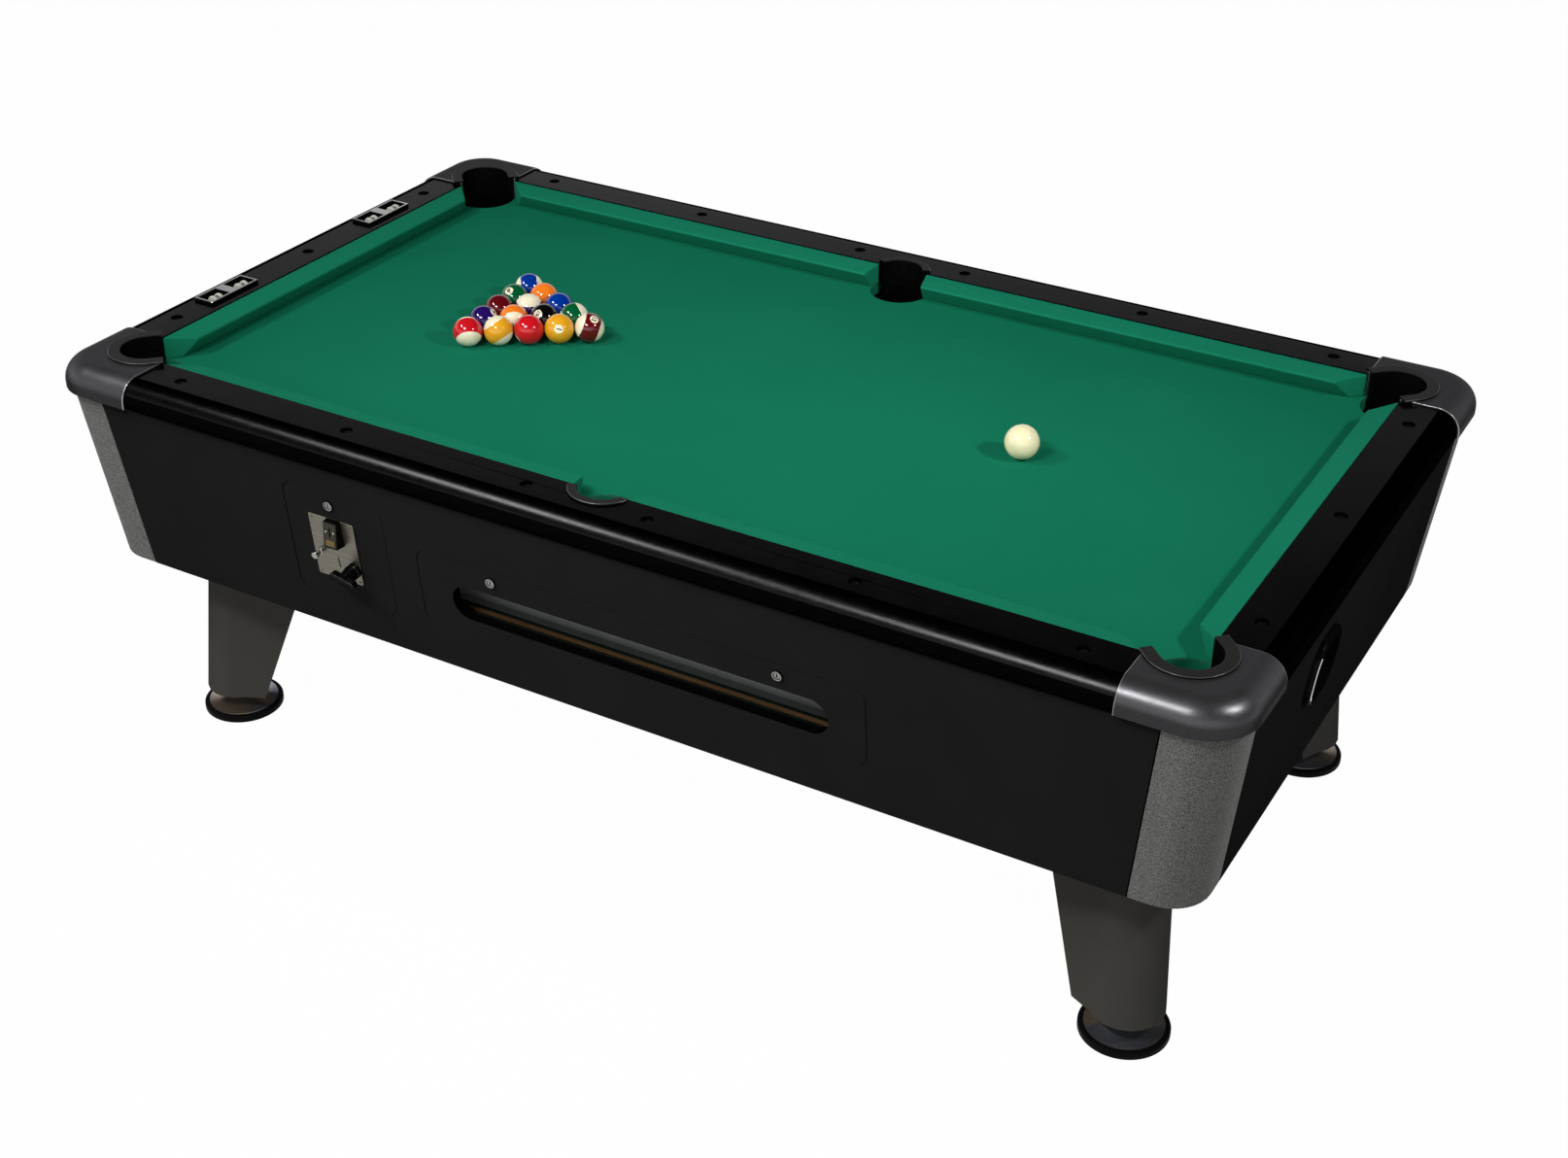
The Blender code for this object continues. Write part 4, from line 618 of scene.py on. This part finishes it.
# cloth on the bed and on the cushions
def makeCloth():
    cloth = {"edge": 0.0005, "noseEdge": 0.0016, "sidePockets": (0.42, 0.520)}
    bm = takeNode("bed_cloth")
    shiftSidePockets(bm, *cloth["sidePockets"])
    roundEdges(bm, cloth["edge"], 2, 50)
    bed = addPiece("bedClothSheet", bm, "bedCloth", "bed_cloth")
    for name in ("near_left", "near_right", "far_left", "far_right", "left", "right"):
        bm = takeNode(name + "_cushion", cloth["noseEdge"], 30, 3)
        cushion = addPiece(name + "_cushionCloth", bm, "cushionCloth", name + "_cushion")
    bm = takeNode("slate_bed")
    shiftSidePockets(bm, *cloth["sidePockets"])
    for face in bm.faces:   # the cloth is turned down over the slate's edge in each pocket
        middle = face.calc_center_median()
        inside = abs(middle.x) < table["slateX"] - 0.001 and abs(middle.y) < table["slateY"] - 0.001
        face.material_index = int(inside and abs(face.normal.z) < 0.5)
    addPiece("slateSlab", bm, ["slate", "bedCloth"], "slate_bed")
    print("cloth: bed, turned edges and 6 cushions")


# folded legs on turned feet with a rubber rim
def makeLegs():
    leg = {"edge": 0.0012}
    foot = {"radius": 0.076, "rim": 0.011, "hub": 0.022, "cone": 0.034, "shoulder": 0.0517, "stem": 0.0115,
            "stemTop": 0.060, "base": 0.004, "steps": 72}
    outer, rimTop, hub, cone = foot["radius"], foot["rim"], foot["hub"], foot["cone"]
    shoulder, stem, base = foot["shoulder"], foot["stem"], foot["base"]
    top = shoulder + foot["stemTop"]
    profile = [(0, top), (stem - 0.002, top), (stem, top - 0.002), (stem, shoulder), (hub - 0.0015, shoulder)]
    profile += [(hub, shoulder - 0.0015), (hub, cone + 0.003), (hub + 0.003, cone)]
    profile += [(outer * 0.5, cone * 0.72), (outer * 0.72, cone * 0.53), (outer - 0.0095, rimTop + 0.0042)]
    profile += [(outer - 0.0085, rimTop), (outer - 0.0085, base), (0, base)]
    ring = [(outer - 0.0105, rimTop + 0.0030)] + arcPoints((outer - 0.004, rimTop - 0.001), 0.004, 90, 0, 5)
    ring += arcPoints((outer - 0.002, 0.002), 0.002, 0, -90, 3) + [(outer - 0.0105, 0)]
    for name, (signX, signY) in corners.items():
        bm = takeNode(name + "_leg", leg["edge"])
        addPiece(name + "_legSheet", bm, "legGrey", name + "_leg")
        place = shift(signX * table["footX"], signY * table["footY"])
        dish = spinProfile(profile, foot["steps"], place)
        addPiece(name + "_footDish", dish, "polished", name + "_foot", body=name + "_foot")
        rim = spinProfile(ring, foot["steps"], place, closed=True)
        addPiece(name + "_footRim", rim, "rubber", body=name + "_foot")
    print("legs and feet: 4")


# cam locks with a keyway
def makeLocks():
    lock = {"head": 0.0098, "height": 0.004, "barrel": 0.008, "back": 0.0195, "camLength": 0.032,
            "camWidth": 0.010, "camThick": 0.003, "ease": 0.0012, "keyDepth": 0.0035, "steps": 40}
    spots = {
        "coin_door_lock": (-0.498, 0.2664),
        "ball_door_lock_left": (-0.1675, 0.2118),
        "ball_door_lock_right": (0.3775, 0.2118),
    }
    head, height, barrel, back, ease = (lock[key] for key in ("head", "height", "barrel", "back", "ease"))
    profile = [(0, height - ease), (0.0052, height - ease), (0.0056, height - 0.0016)]
    profile += [(0.0062, height - 0.0004), (0.0068, height)]
    profile += arcPoints((head - ease, height - ease), ease, 90, 0, 4)
    profile += [(head, table["gap"]), (barrel, table["gap"]), (barrel, -back - 0.005), (0, -back - 0.005)]
    keyFloor = height - lock["keyDepth"]
    half = lock["camWidth"] / 2
    for name, (along, up) in spots.items():
        cam = raiseOutline(slotPoints(0, lock["camLength"] - half, half, 10), -back - lock["camThick"], -back)
        keyway = block((-0.0014, -0.0040, keyFloor), (0.0014, 0.0040, height + 0.01))
        bm = joinShapes([carve(spinProfile(profile, lock["steps"]), [keyway]), cam])
        # the groove, the rim of the head and the keyway's floor are painted black as shade
        for face in bm.faces:
            middle = face.calc_center_median()
            away = math.hypot(middle.x, middle.y)
            groove = middle.z > height - 0.0045 and 0.0050 < away < 0.0066
            ring = middle.z > 0 and away > 0.0083
            keyhole = abs(middle.z - keyFloor) < 0.0003
            face.material_index = int(groove or ring or keyhole)
        bm.transform(nearPanel @ shift(along, up))
        addPiece(name + "_cylinder", bm, ["lockSteel", "moulding"], name, body=name)
    print("locks:", len(spots))


# coin plate with its entry, return button and turn handle
def makeScrew(place, radius, height):   # a head with a cross slot
    profile = [(0, height), (radius * 0.55, height * 0.93), (radius * 0.88, height * 0.6)]
    profile += [(radius, height * 0.15), (radius, 0), (0, 0)]
    low, high = (-radius * 0.6, -radius * 0.11, height * 0.5), (radius * 0.6, radius * 0.11, height * 2)
    slots = [block(low, high, Matrix.Rotation(math.radians(turn), 4, "Z")) for turn in (20, 110)]
    bm = carve(spinProfile(profile, 24), slots)
    bm.transform(place)
    return bm


def addScrews(name, spots, size, finish):
    screws = [makeScrew(coinPlate @ spot, *size) for spot in spots]
    addPiece(name, joinShapes(screws), finish, body="coin_door")


def makeCoinSide():
    plate = {"edge": 0.0006, "screwX": 0.0425, "screwY": 0.0570, "screw": (0.0025, 0.0016), "face": 0.0033,
             "groove": (0.0028, -0.027, 0), "grooveTilt": 5}
    bm = takeNode("coin_plate", plate["edge"])
    addPiece("coinPlateSheet", bm, "plateSteel", "coin_plate", body="coin_door")
    seat = plate["face"] + 0.0001
    spots = [shift(x * plate["screwX"], y * plate["screwY"], seat) for x, y in corners.values()]
    addScrews("plateScrews", spots, plate["screw"], "plateSteel")
    # a thin black strip painted on the plate as the shade of a groove
    groove = block((-0.0011, -0.010, plate["face"]), (0.0011, 0.010, plate["face"] + 0.0003))
    tilt = Matrix.Rotation(math.radians(plate["grooveTilt"]), 4, "Z")
    groove.transform(coinPlate @ Matrix.Translation(plate["groove"]) @ tilt)
    addPiece("plateGroove", groove, "moulding", body="coin_door")

    entry = {"edge": 0.0006, "u": 0.008, "low": 0.013, "high": 0.0645, "half": 0.0142, "seat": 0.0036,
             "top": 0.011, "foot": 0.0195, "footRise": 0.004, "slotV": 0.0460, "slotHalf": 0.0092,
             "faceV": 0.0408, "tagV": 0.0262, "screwU": 0.0085, "screw": (0.0018, 0.0013)}
    seat = entry["seat"]
    wedge = [(entry["low"], seat), (entry["high"], seat), (entry["high"], seat + entry["top"])]
    wedge += [(entry["low"] + entry["footRise"], seat + entry["foot"])]
    upright = Matrix(((0, 0, 1, entry["u"]), (1, 0, 0, 0), (0, 1, 0, 0), (0, 0, 0, 1)))
    slope = (entry["foot"] - entry["top"]) / (entry["high"] - entry["low"] - entry["footRise"])
    lean = Matrix.Rotation(-math.atan(slope), 4, "X")

    def onFace(u, v):   # a place on the entry's leaning front
        return shift(entry["u"] + u, v, seat + entry["top"] + (entry["high"] - v) * slope) @ lean

    slot = (-0.0015, -entry["slotHalf"], -0.008), (0.0015, entry["slotHalf"], 0.004)
    bm = raiseOutline(wedge, -entry["half"], entry["half"])
    bm.transform(upright)
    roundEdges(bm, entry["edge"], 2, 40)
    bm = carve(bm, [block(*slot, onFace(0, entry["slotV"]))])
    bm.transform(coinPlate)
    addPiece("coinEntryBlock", bm, "moulding", "coin_entry", body="coin_door")
    face = block((-0.0124, -0.0222, -0.0002), (0.0124, 0.0222, 0.0003), onFace(0, entry["faceV"]))
    face = carve(face, [block(*slot, onFace(0, entry["slotV"]))])
    face.transform(coinPlate)
    addPiece("entryFacePlate", face, "entryFace", body="coin_door")
    tag = block((-0.0090, -0.0050, 0.0002), (0.0090, 0.0050, 0.0005), onFace(0.0004, entry["tagV"]))
    tag.transform(coinPlate)
    addPiece("entryTagPlate", tag, "entryTag", body="coin_door")
    lift = shift(0, 0, table["gap"])
    spots = [onFace(side * entry["screwU"], entry["slotV"] + 0.0005) @ lift for side in (-1, 1)]
    addScrews("entryScrews", spots, entry["screw"], "chrome")

    button = {"u": -0.0275, "v": -0.006, "radius": 0.0065, "stem": 0.0045, "face": 0.0033, "length": 0.026,
              "travel": 0.008, "back": -0.008}
    tip = button["face"] + button["length"]
    collar = button["face"] + button["travel"] + 0.0003
    wide, thin, back = button["radius"], button["stem"], button["back"]
    profile = [(0, tip)] + arcPoints((wide - 0.0015, tip - 0.0015), 0.0015, 90, 0, 4)
    profile += [(wide, tip - 0.007), (thin + 0.0004, tip - 0.0078), (thin, tip - 0.0085)]
    profile += [(thin, collar + 0.0042), (wide - 0.0006, collar + 0.0034), (wide, collar + 0.0026)]
    profile += [(wide, collar + 0.0004), (wide - 0.0004, collar), (thin, collar), (thin, back), (0, back)]
    bm = spinProfile(profile, 40, coinPlate @ shift(button["u"], button["v"]))
    addPiece("returnButton", bm, "lockSteel", "coin_return_button", body="coin_return_button")

    handle = {"u": 0.0365, "v": -0.032, "hub": 0.014, "seat": 0.0036, "length": 0.040, "bar": 0.052,
              "barWidth": 0.015, "barEdge": 0.0035, "shaft": 0.005, "shaftEnd": -0.0186, "tilt": -12}
    seat, hub, shaft, back = handle["seat"], handle["hub"], handle["shaft"], handle["shaftEnd"]
    high = seat + handle["length"]
    low = high - handle["barWidth"]
    profile = [(0, high - 0.002), (hub * 0.7, high - 0.002), (hub * 0.8, low), (hub * 0.86, low - 0.002)]
    profile += [(hub, seat + 0.0125), (hub, seat + 0.0115), (hub * 0.94, seat + 0.0105)]
    profile += [(hub * 0.94, seat + 0.0085), (hub, seat + 0.0075), (hub, seat + 0.0008), (hub - 0.0008, seat)]
    profile += [(shaft, seat), (shaft, back), (0, back)]
    half = handle["barWidth"] / 2
    reach = handle["bar"] / 2 - half
    bar = raiseOutline(slotPoints(-reach, reach, half, 14), low, high)
    roundEdges(bar, handle["barEdge"], 4, 60)
    bar.transform(Matrix.Rotation(math.radians(handle["tilt"]), 4, "Z"))
    bm = joinShapes([spinProfile(profile, 40), bar])
    bm.transform(coinPlate @ shift(handle["u"], handle["v"]))
    addPiece("turnHandleGrip", bm, "moulding", "turn_handle", body="turn_handle")
    print("coin side: plate, entry, button and handle")


# score counters on the left rail
def makeCounters():
    counter = {"edge": 0.0005, "x": -1.048, "y": 0.231, "wheelY": 0.035, "axis": 0.771}
    wheel = {"radius": 0.011, "hub": 0.008, "disc": 0.006, "hubLength": 0.010, "axle": 0.0022, "half": 0.0237,
             "steps": 40}
    inner = wheel["hubLength"] / 2
    outer = inner + wheel["disc"]
    rim, hub, axle, half = wheel["radius"], wheel["hub"], wheel["axle"], wheel["half"]
    side = [(0, half), (axle, half), (axle, outer), (rim - 0.0012, outer), (rim - 0.0004, outer - 0.0004)]
    side += [(rim, outer - 0.0012), (rim, inner + 0.0005), (rim - 0.0005, inner), (hub, inner)]
    profile = side + [(radius, -height) for radius, height in side[::-1]]
    ends = (("near", -1), ("far", 1))
    for name, sign in ends:
        bm = takeNode(name + "_score_counter", counter["edge"])
        for face in bm.faces:   # bright on top, with its walls painted dark as shade
            face.material_index = int(face.normal.z <= 0.6)
        finish = ["chrome", "moulding"]
        addPiece(name + "_counterFrame", bm, finish, name + "_score_counter")
        for end, endSign in ends:
            bm = spinProfile(profile, wheel["steps"])
            for face in bm.faces:
                height = abs(face.calc_center_median().z)
                face.material_index = int(height < inner - 0.0001 or height > outer + 0.0001)
            y = sign * counter["y"] + endSign * counter["wheelY"]
            place = shift(counter["x"], y, counter["axis"])
            bm.transform(place @ Matrix.Rotation(-math.pi / 2, 4, "X"))
            node = name + "_counter_" + end + "_wheel"
            addPiece(node + "Disc", bm, ["wheel", "wheelHub"], node, body=node)
    print("score counters: 2 with 4 wheels")


# ball return: tray lining and the moulded cue ball cup
def makeReturns():
    tray = {"left": -0.329, "right": 0.539, "floor": 0.48298, "front": -0.578, "back": -0.51807,
            "edge": 0.0004}
    left, right, floor, back = tray["left"], tray["right"], tray["floor"], tray["back"]
    # the grey of the wall and shelf is painted lighter than their own colour, as painted light in the dark
    # tray
    strips = {   # front edge, back edge, top
        "trayWall": (back - 0.0016, back - 0.0003, 0.5845, "trayGrey"),
        "trayShelf": (-0.5360, back - 0.0019, floor + 0.0036, "trayGrey"),
        "trayWelt": (-0.5446, -0.5363, floor + 0.0040, "trayGreen"),
        "trayStrip": (-0.5535, -0.5449, floor + 0.0042, "trayWood"),
        "trayMat": (tray["front"] + 0.002, -0.5538, floor + 0.0022, "trayFelt"),
    }
    for name, (front, rear, top, finish) in strips.items():
        bm = block((left, front, floor + table["gap"]), (right, rear, top))
        roundEdges(bm, tray["edge"], 2, 60)
        addPiece(name, bm, finish)
    cup = {"edge": 0.0016, "turned": 0.78, "flat": 0.99}
    bm = takeNode("cue_ball_return", cup["edge"], 30)
    outward = Vector((math.cos(panelTilt), 0, -math.sin(panelTilt)))
    low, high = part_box("cue_ball_return")
    centre = (Vector(low) + Vector(high)) / 2
    for face in bm.faces:   # the near arris is painted bright as a highlight, the near wall is glossier than the rest
        middle = face.calc_center_median()
        facing = face.normal.dot(outward)
        near = face.normal.y < -0.2 and middle.y < centre.y and (middle - centre).dot(outward) > 0
        face.material_index = 0 if not near or facing > cup["flat"] else 1 if facing > cup["turned"] else 2
    addPiece("cueBallCup", bm, ["cup", "chrome", "liner"], "cue_ball_return")
    print("ball return: tray lining and cue ball cup")


# balls: resin spheres with a band or plain, numbered in generic figures
def makeDigits(text, size):
    curve = bpy.data.curves.new("digits", "FONT")
    curve.body = text
    curve.size = size
    curve.align_x = "CENTER"
    curve.align_y = "CENTER"
    curve.resolution_u = 4
    curve.offset = size * 0.03
    item = bpy.data.objects.new("digits", curve)
    scene.collection.objects.link(item)
    bpy.context.view_layer.update()
    mesh = bpy.data.meshes.new_from_object(item.evaluated_get(bpy.context.evaluated_depsgraph_get()))
    bm = bmesh.new()
    bm.from_mesh(mesh)
    bpy.data.meshes.remove(mesh)
    bpy.data.objects.remove(item)
    bpy.data.curves.remove(curve)
    bmesh.ops.subdivide_edges(bm, edges=bm.edges, cuts=1)
    return bm


def makeBalls():
    ball = {"radius": 0.0277, "band": 33, "spot": 17.5, "spotLift": 0.00008, "inkLift": 0.00022, "steps": 64,
            "oneFigure": 0.0140, "twoFigures": 0.0112, "gap": 0.0001,
            "cueRadius": 0.03015, "cue": (0.5005, -0.0030)}
    lattice = {"origin": (-0.5716, -0.1167), "pitch": 0.0562, "turn": math.radians(35.2)}
    rack = {   # row and place in it, way the number faces, way its top points, colour, banded
        11: ((0, 0), (-0.32, 0.45, -0.83), (0.56, -0.62, -0.55), "Red", True),
        9: ((0, 1), (-0.57, 0.72, -0.39), (-0.60, -0.05, 0.80), "Yellow", True),
        3: ((0, 2), (-0.45, -0.75, -0.49), (-0.48, -0.16, 0.86), "Red", False),
        1: ((0, 3), (0.52, -0.77, 0.37), (0.85, 0.46, -0.28), "Yellow", False),
        15: ((0, 4), (0.51, -0.20, 0.83), (-0.76, -0.52, 0.39), "Maroon", True),
        4: ((1, 0), (0.71, 0.26, 0.65), (-0.46, 0.01, 0.89), "Purple", False),
        13: ((1, 1), (-0.03, 0.04, -1.00), (0.60, -0.80, -0.05), "Orange", True),
        8: ((1, 2), (0.05, -0.78, 0.63), (0.14, 0.46, 0.88), "Black", False),
        14: ((1, 3), (-0.53, 0.74, -0.41), (0.61, 0.67, 0.42), "Green", True),
        7: ((2, 0), (-0.29, 0.69, -0.67), (-0.21, 0.35, 0.91), "Maroon", False),
        12: ((2, 1), (-0.42, 0.63, -0.30), (0.06, -0.08, 0.99), "Purple", True),
        2: ((2, 2), (-0.28, 0.96, 0.04), (-0.21, 0.35, 0.91), "Blue", False),
        6: ((3, 0), (0.01, -0.61, 0.80), (0.66, -0.46, -0.59), "Green", False),
        5: ((3, 1), (-0.74, 0.67, -0.08), (-0.21, 0.34, 0.92), "Orange", False),
        10: ((4, 0), (-0.55, 0.74, -0.39), (0.79, 0.61, 0.04), "Blue", True),
    }
    radius = ball["radius"]
    bandEdge = arcPoints((0, 0), radius, ball["band"], 0, 1)[:1]
    upper = sorted(arcPoints((0, 0), radius, 90, 0, 18) + bandEdge, key=lambda point: -point[1])
    upper[0] = (0, radius)
    profile = upper + [(out, -height) for out, height in upper[-2::-1]]
    limit = bandEdge[0][1]
    lifted = radius + ball["spotLift"]
    spotEdge = math.radians(ball["spot"])
    capPoints = [(0, lifted)] + arcPoints((0, 0), lifted, 90, 90 - ball["spot"], 5)[1:]
    capPoints.append((radius * 0.999 * math.sin(spotEdge), radius * 0.997 * math.cos(spotEdge)))
    turn = lattice["turn"]
    along = Vector((math.cos(turn), math.sin(turn), 0)) * lattice["pitch"]
    back = Vector((math.cos(turn + math.pi / 3), math.sin(turn + math.pi / 3), 0)) * lattice["pitch"]
    first = Vector((*lattice["origin"], table["clothTop"] + radius + ball["gap"]))
    for number, ((row, place), spot, up, colour, banded) in rack.items():
        shapes = [spinProfile(profile, ball["steps"])]
        for face in shapes[0].faces:
            face.material_index = int(banded and abs(face.calc_center_median().z) > limit)
        cap = spinProfile(capPoints, 40)
        for face in cap.faces:
            if face.normal.dot(face.calc_center_median()) < 0:
                face.normal_flip()
            face.material_index = 1
        digits = makeDigits(str(number), ball["oneFigure"] if number < 10 else ball["twoFigures"])
        for vert in digits.verts:
            vert.co = Vector((vert.co.x, vert.co.y, radius)).normalized() * (radius + ball["inkLift"])
        for face in digits.faces:
            face.material_index = 2
        for shape in (cap, digits):
            shape.transform(Matrix.Rotation(math.pi / 2, 4, "X"))
            shapes.append(shape)
        bm = joinShapes(shapes)
        facing = Vector(spot).normalized()
        top = (Vector(up) - facing * facing.dot(Vector(up))).normalized()
        if banded:
            top = Vector(up).normalized()
            facing = (Vector(spot) - top * top.dot(Vector(spot))).normalized()
        across = top.cross(-facing).normalized()
        turned = Matrix((across, -facing, top)).transposed().to_4x4()
        bm.transform(Matrix.Translation(first + along * place + back * row) @ turned)
        finish = ["ball" + colour, "ballIvory", "ballInk"]
        addPiece("ball_" + str(number), bm, finish, sharp=60)
    cueRadius = ball["cueRadius"]
    cueProfile = arcPoints((0, 0), cueRadius, 90, -90, 36)
    cueProfile[0], cueProfile[-1] = (0, cueRadius), (0, -cueRadius)
    place = shift(*ball["cue"], table["clothTop"] + cueRadius + ball["gap"])
    bm = spinProfile(cueProfile, ball["steps"], place)
    addPiece("cueBall", bm, "ballCue", sharp=60)
    print("balls:", len(rack) + 1)


# solids that stay as they are and only take a finish
def finishNodes():
    kept = {
        "plywood": ("cabinet_floor", "ball_runway", "ball_tray"),
        "caseSteel": ("ball_gate", "cash_box", "coin_mechanism"),
    }
    for finish, names in kept.items():
        for name in names:
            mesh = nodes[name].data
            mesh.materials.clear()
            mesh.materials.append(finishes[finish])
        print("kept solids in", finish + ":", len(names))


# floor, sky and lamps
def makeStage():
    stage = {"floor": 60, "glow": 0.985, "pale": 0.85, "bounce": 0.22}
    bm = bmesh.new()
    bmesh.ops.create_grid(bm, x_segments=1, y_segments=1, size=stage["floor"])
    floor = bpy.data.objects.new("floor", meshFrom(bm, "floor"))
    scene.collection.objects.link(floor)
    pale = bpy.data.materials.new("paleFloor")
    pale.use_nodes = True
    pale.node_tree.nodes.clear()
    path = addNode(pale, "LightPath")
    either = addNode(pale, "Math", operation="MAXIMUM")
    link(pale, path.outputs["Is Camera Ray"], either.inputs[0])
    link(pale, path.outputs["Is Glossy Ray"], either.inputs[1])
    seen = either.outputs[0]
    shade = addNode(pale, "Mix", data_type="RGBA")   # seen pale, but throwing back less light
    shade.inputs[6].default_value = (*rgb(stage["bounce"]), 1)
    shade.inputs[7].default_value = (*rgb(stage["pale"]), 1)
    link(pale, seen, shade.inputs[0])
    diffuse = addNode(pale, "BsdfDiffuse")
    link(pale, shade.outputs[2], diffuse.inputs["Color"])
    share = addNode(pale, "Math", operation="MULTIPLY")
    share.inputs[1].default_value = stage["glow"]
    link(pale, seen, share.inputs[0])
    mix = addNode(pale, "MixShader")
    link(pale, share.outputs[0], mix.inputs["Fac"])
    link(pale, diffuse.outputs[0], mix.inputs[1])
    link(pale, addNode(pale, "Emission", Color=(1, 1, 1, 1)).outputs[0], mix.inputs[2])
    link(pale, mix.outputs[0], addNode(pale, "OutputMaterial").inputs["Surface"])
    floor.data.materials.append(pale)

    world = bpy.data.worlds.new("studio")
    scene.world = world
    world.use_nodes = True
    background = world.node_tree.nodes["Background"]
    direction = addNode(world, "TexCoord").outputs["Generated"]
    height = addNode(world, "SeparateXYZ")
    levels = [   # height above the horizon, brightness
        (0.0, 1.0), (0.18, 1.0), (0.33, 0.72), (0.40, 0.40),
        (0.47, 0.36), (0.51, 0.06), (0.56, 0.02), (1.0, 0.02),
    ]
    link(world, direction, height.inputs["Vector"])
    link(world, shadesOf(world, height.outputs["Z"], levels), background.inputs["Color"])
    skies = {   # direction, its shares at the sky's edge and middle, and the strengths there
        "left": ((-0.958, 0.287, 0), -0.3, 0.7, 0.08, 1.0),   # light at the back left, dark at the right
        "front": ((0.22, -0.975, 0), 0.25, 0.95, 0.0, 1.6),
        "behind": ((-0.10, 0.995, 0), 0.50, 0.95, 0.0, 0.9),
        "horizon": ((0, 0, -1), -0.07, -0.04, 0.0, 1.0),
    }
    strongest = background.inputs["Strength"]
    for toward, edge, middle, least, most in skies.values():
        part = addNode(world, "VectorMath", operation="DOT_PRODUCT")
        part.inputs[1].default_value = toward
        link(world, direction, part.inputs[0])
        larger = addNode(world, "Math", operation="MAXIMUM")
        larger.inputs[1].default_value = 0
        link(world, spread(world, part.outputs["Value"], least, most, edge, middle), larger.inputs[0])
        link(world, larger.outputs[0], strongest)
        strongest = larger.inputs[1]

    lamps = {   # place, aim, size, spread, watts
        "softLeft": ((-2.10, -1.95, 3.55), (0.1, 0, 0.75), (1.20, 0.45), 90, 14),
        "softFront": ((-0.20, -2.85, 3.40), (0.1, 0, 0.75), (1.20, 0.45), 90, 18),
        "smallRight": ((2.95, -0.25, 2.85), (0, 0, 0.75), (0.28, 0.28), 60, 6.2),
    }
    for name, (place, aim, size, spreadAngle, watts) in lamps.items():
        light = bpy.data.lights.new(name, "AREA")
        light.shape = "RECTANGLE"
        light.size, light.size_y = size
        light.energy = watts
        light.spread = math.radians(spreadAngle)
        lamp = bpy.data.objects.new(name, light)
        lamp.location = place
        lamp.rotation_euler = (Vector(aim) - Vector(place)).to_track_quat("-Z", "Y").to_euler()
        scene.collection.objects.link(lamp)
    print("stage: floor, sky and", len(lamps), "lamps")


makeCamera()
makeCabinet()
makeRails()
makeBolts()
makeCastings()
makeLiners()
makeCloth()
makeLegs()
makeLocks()
makeCoinSide()
makeCounters()
makeReturns()
makeBalls()
finishNodes()
makeStage()
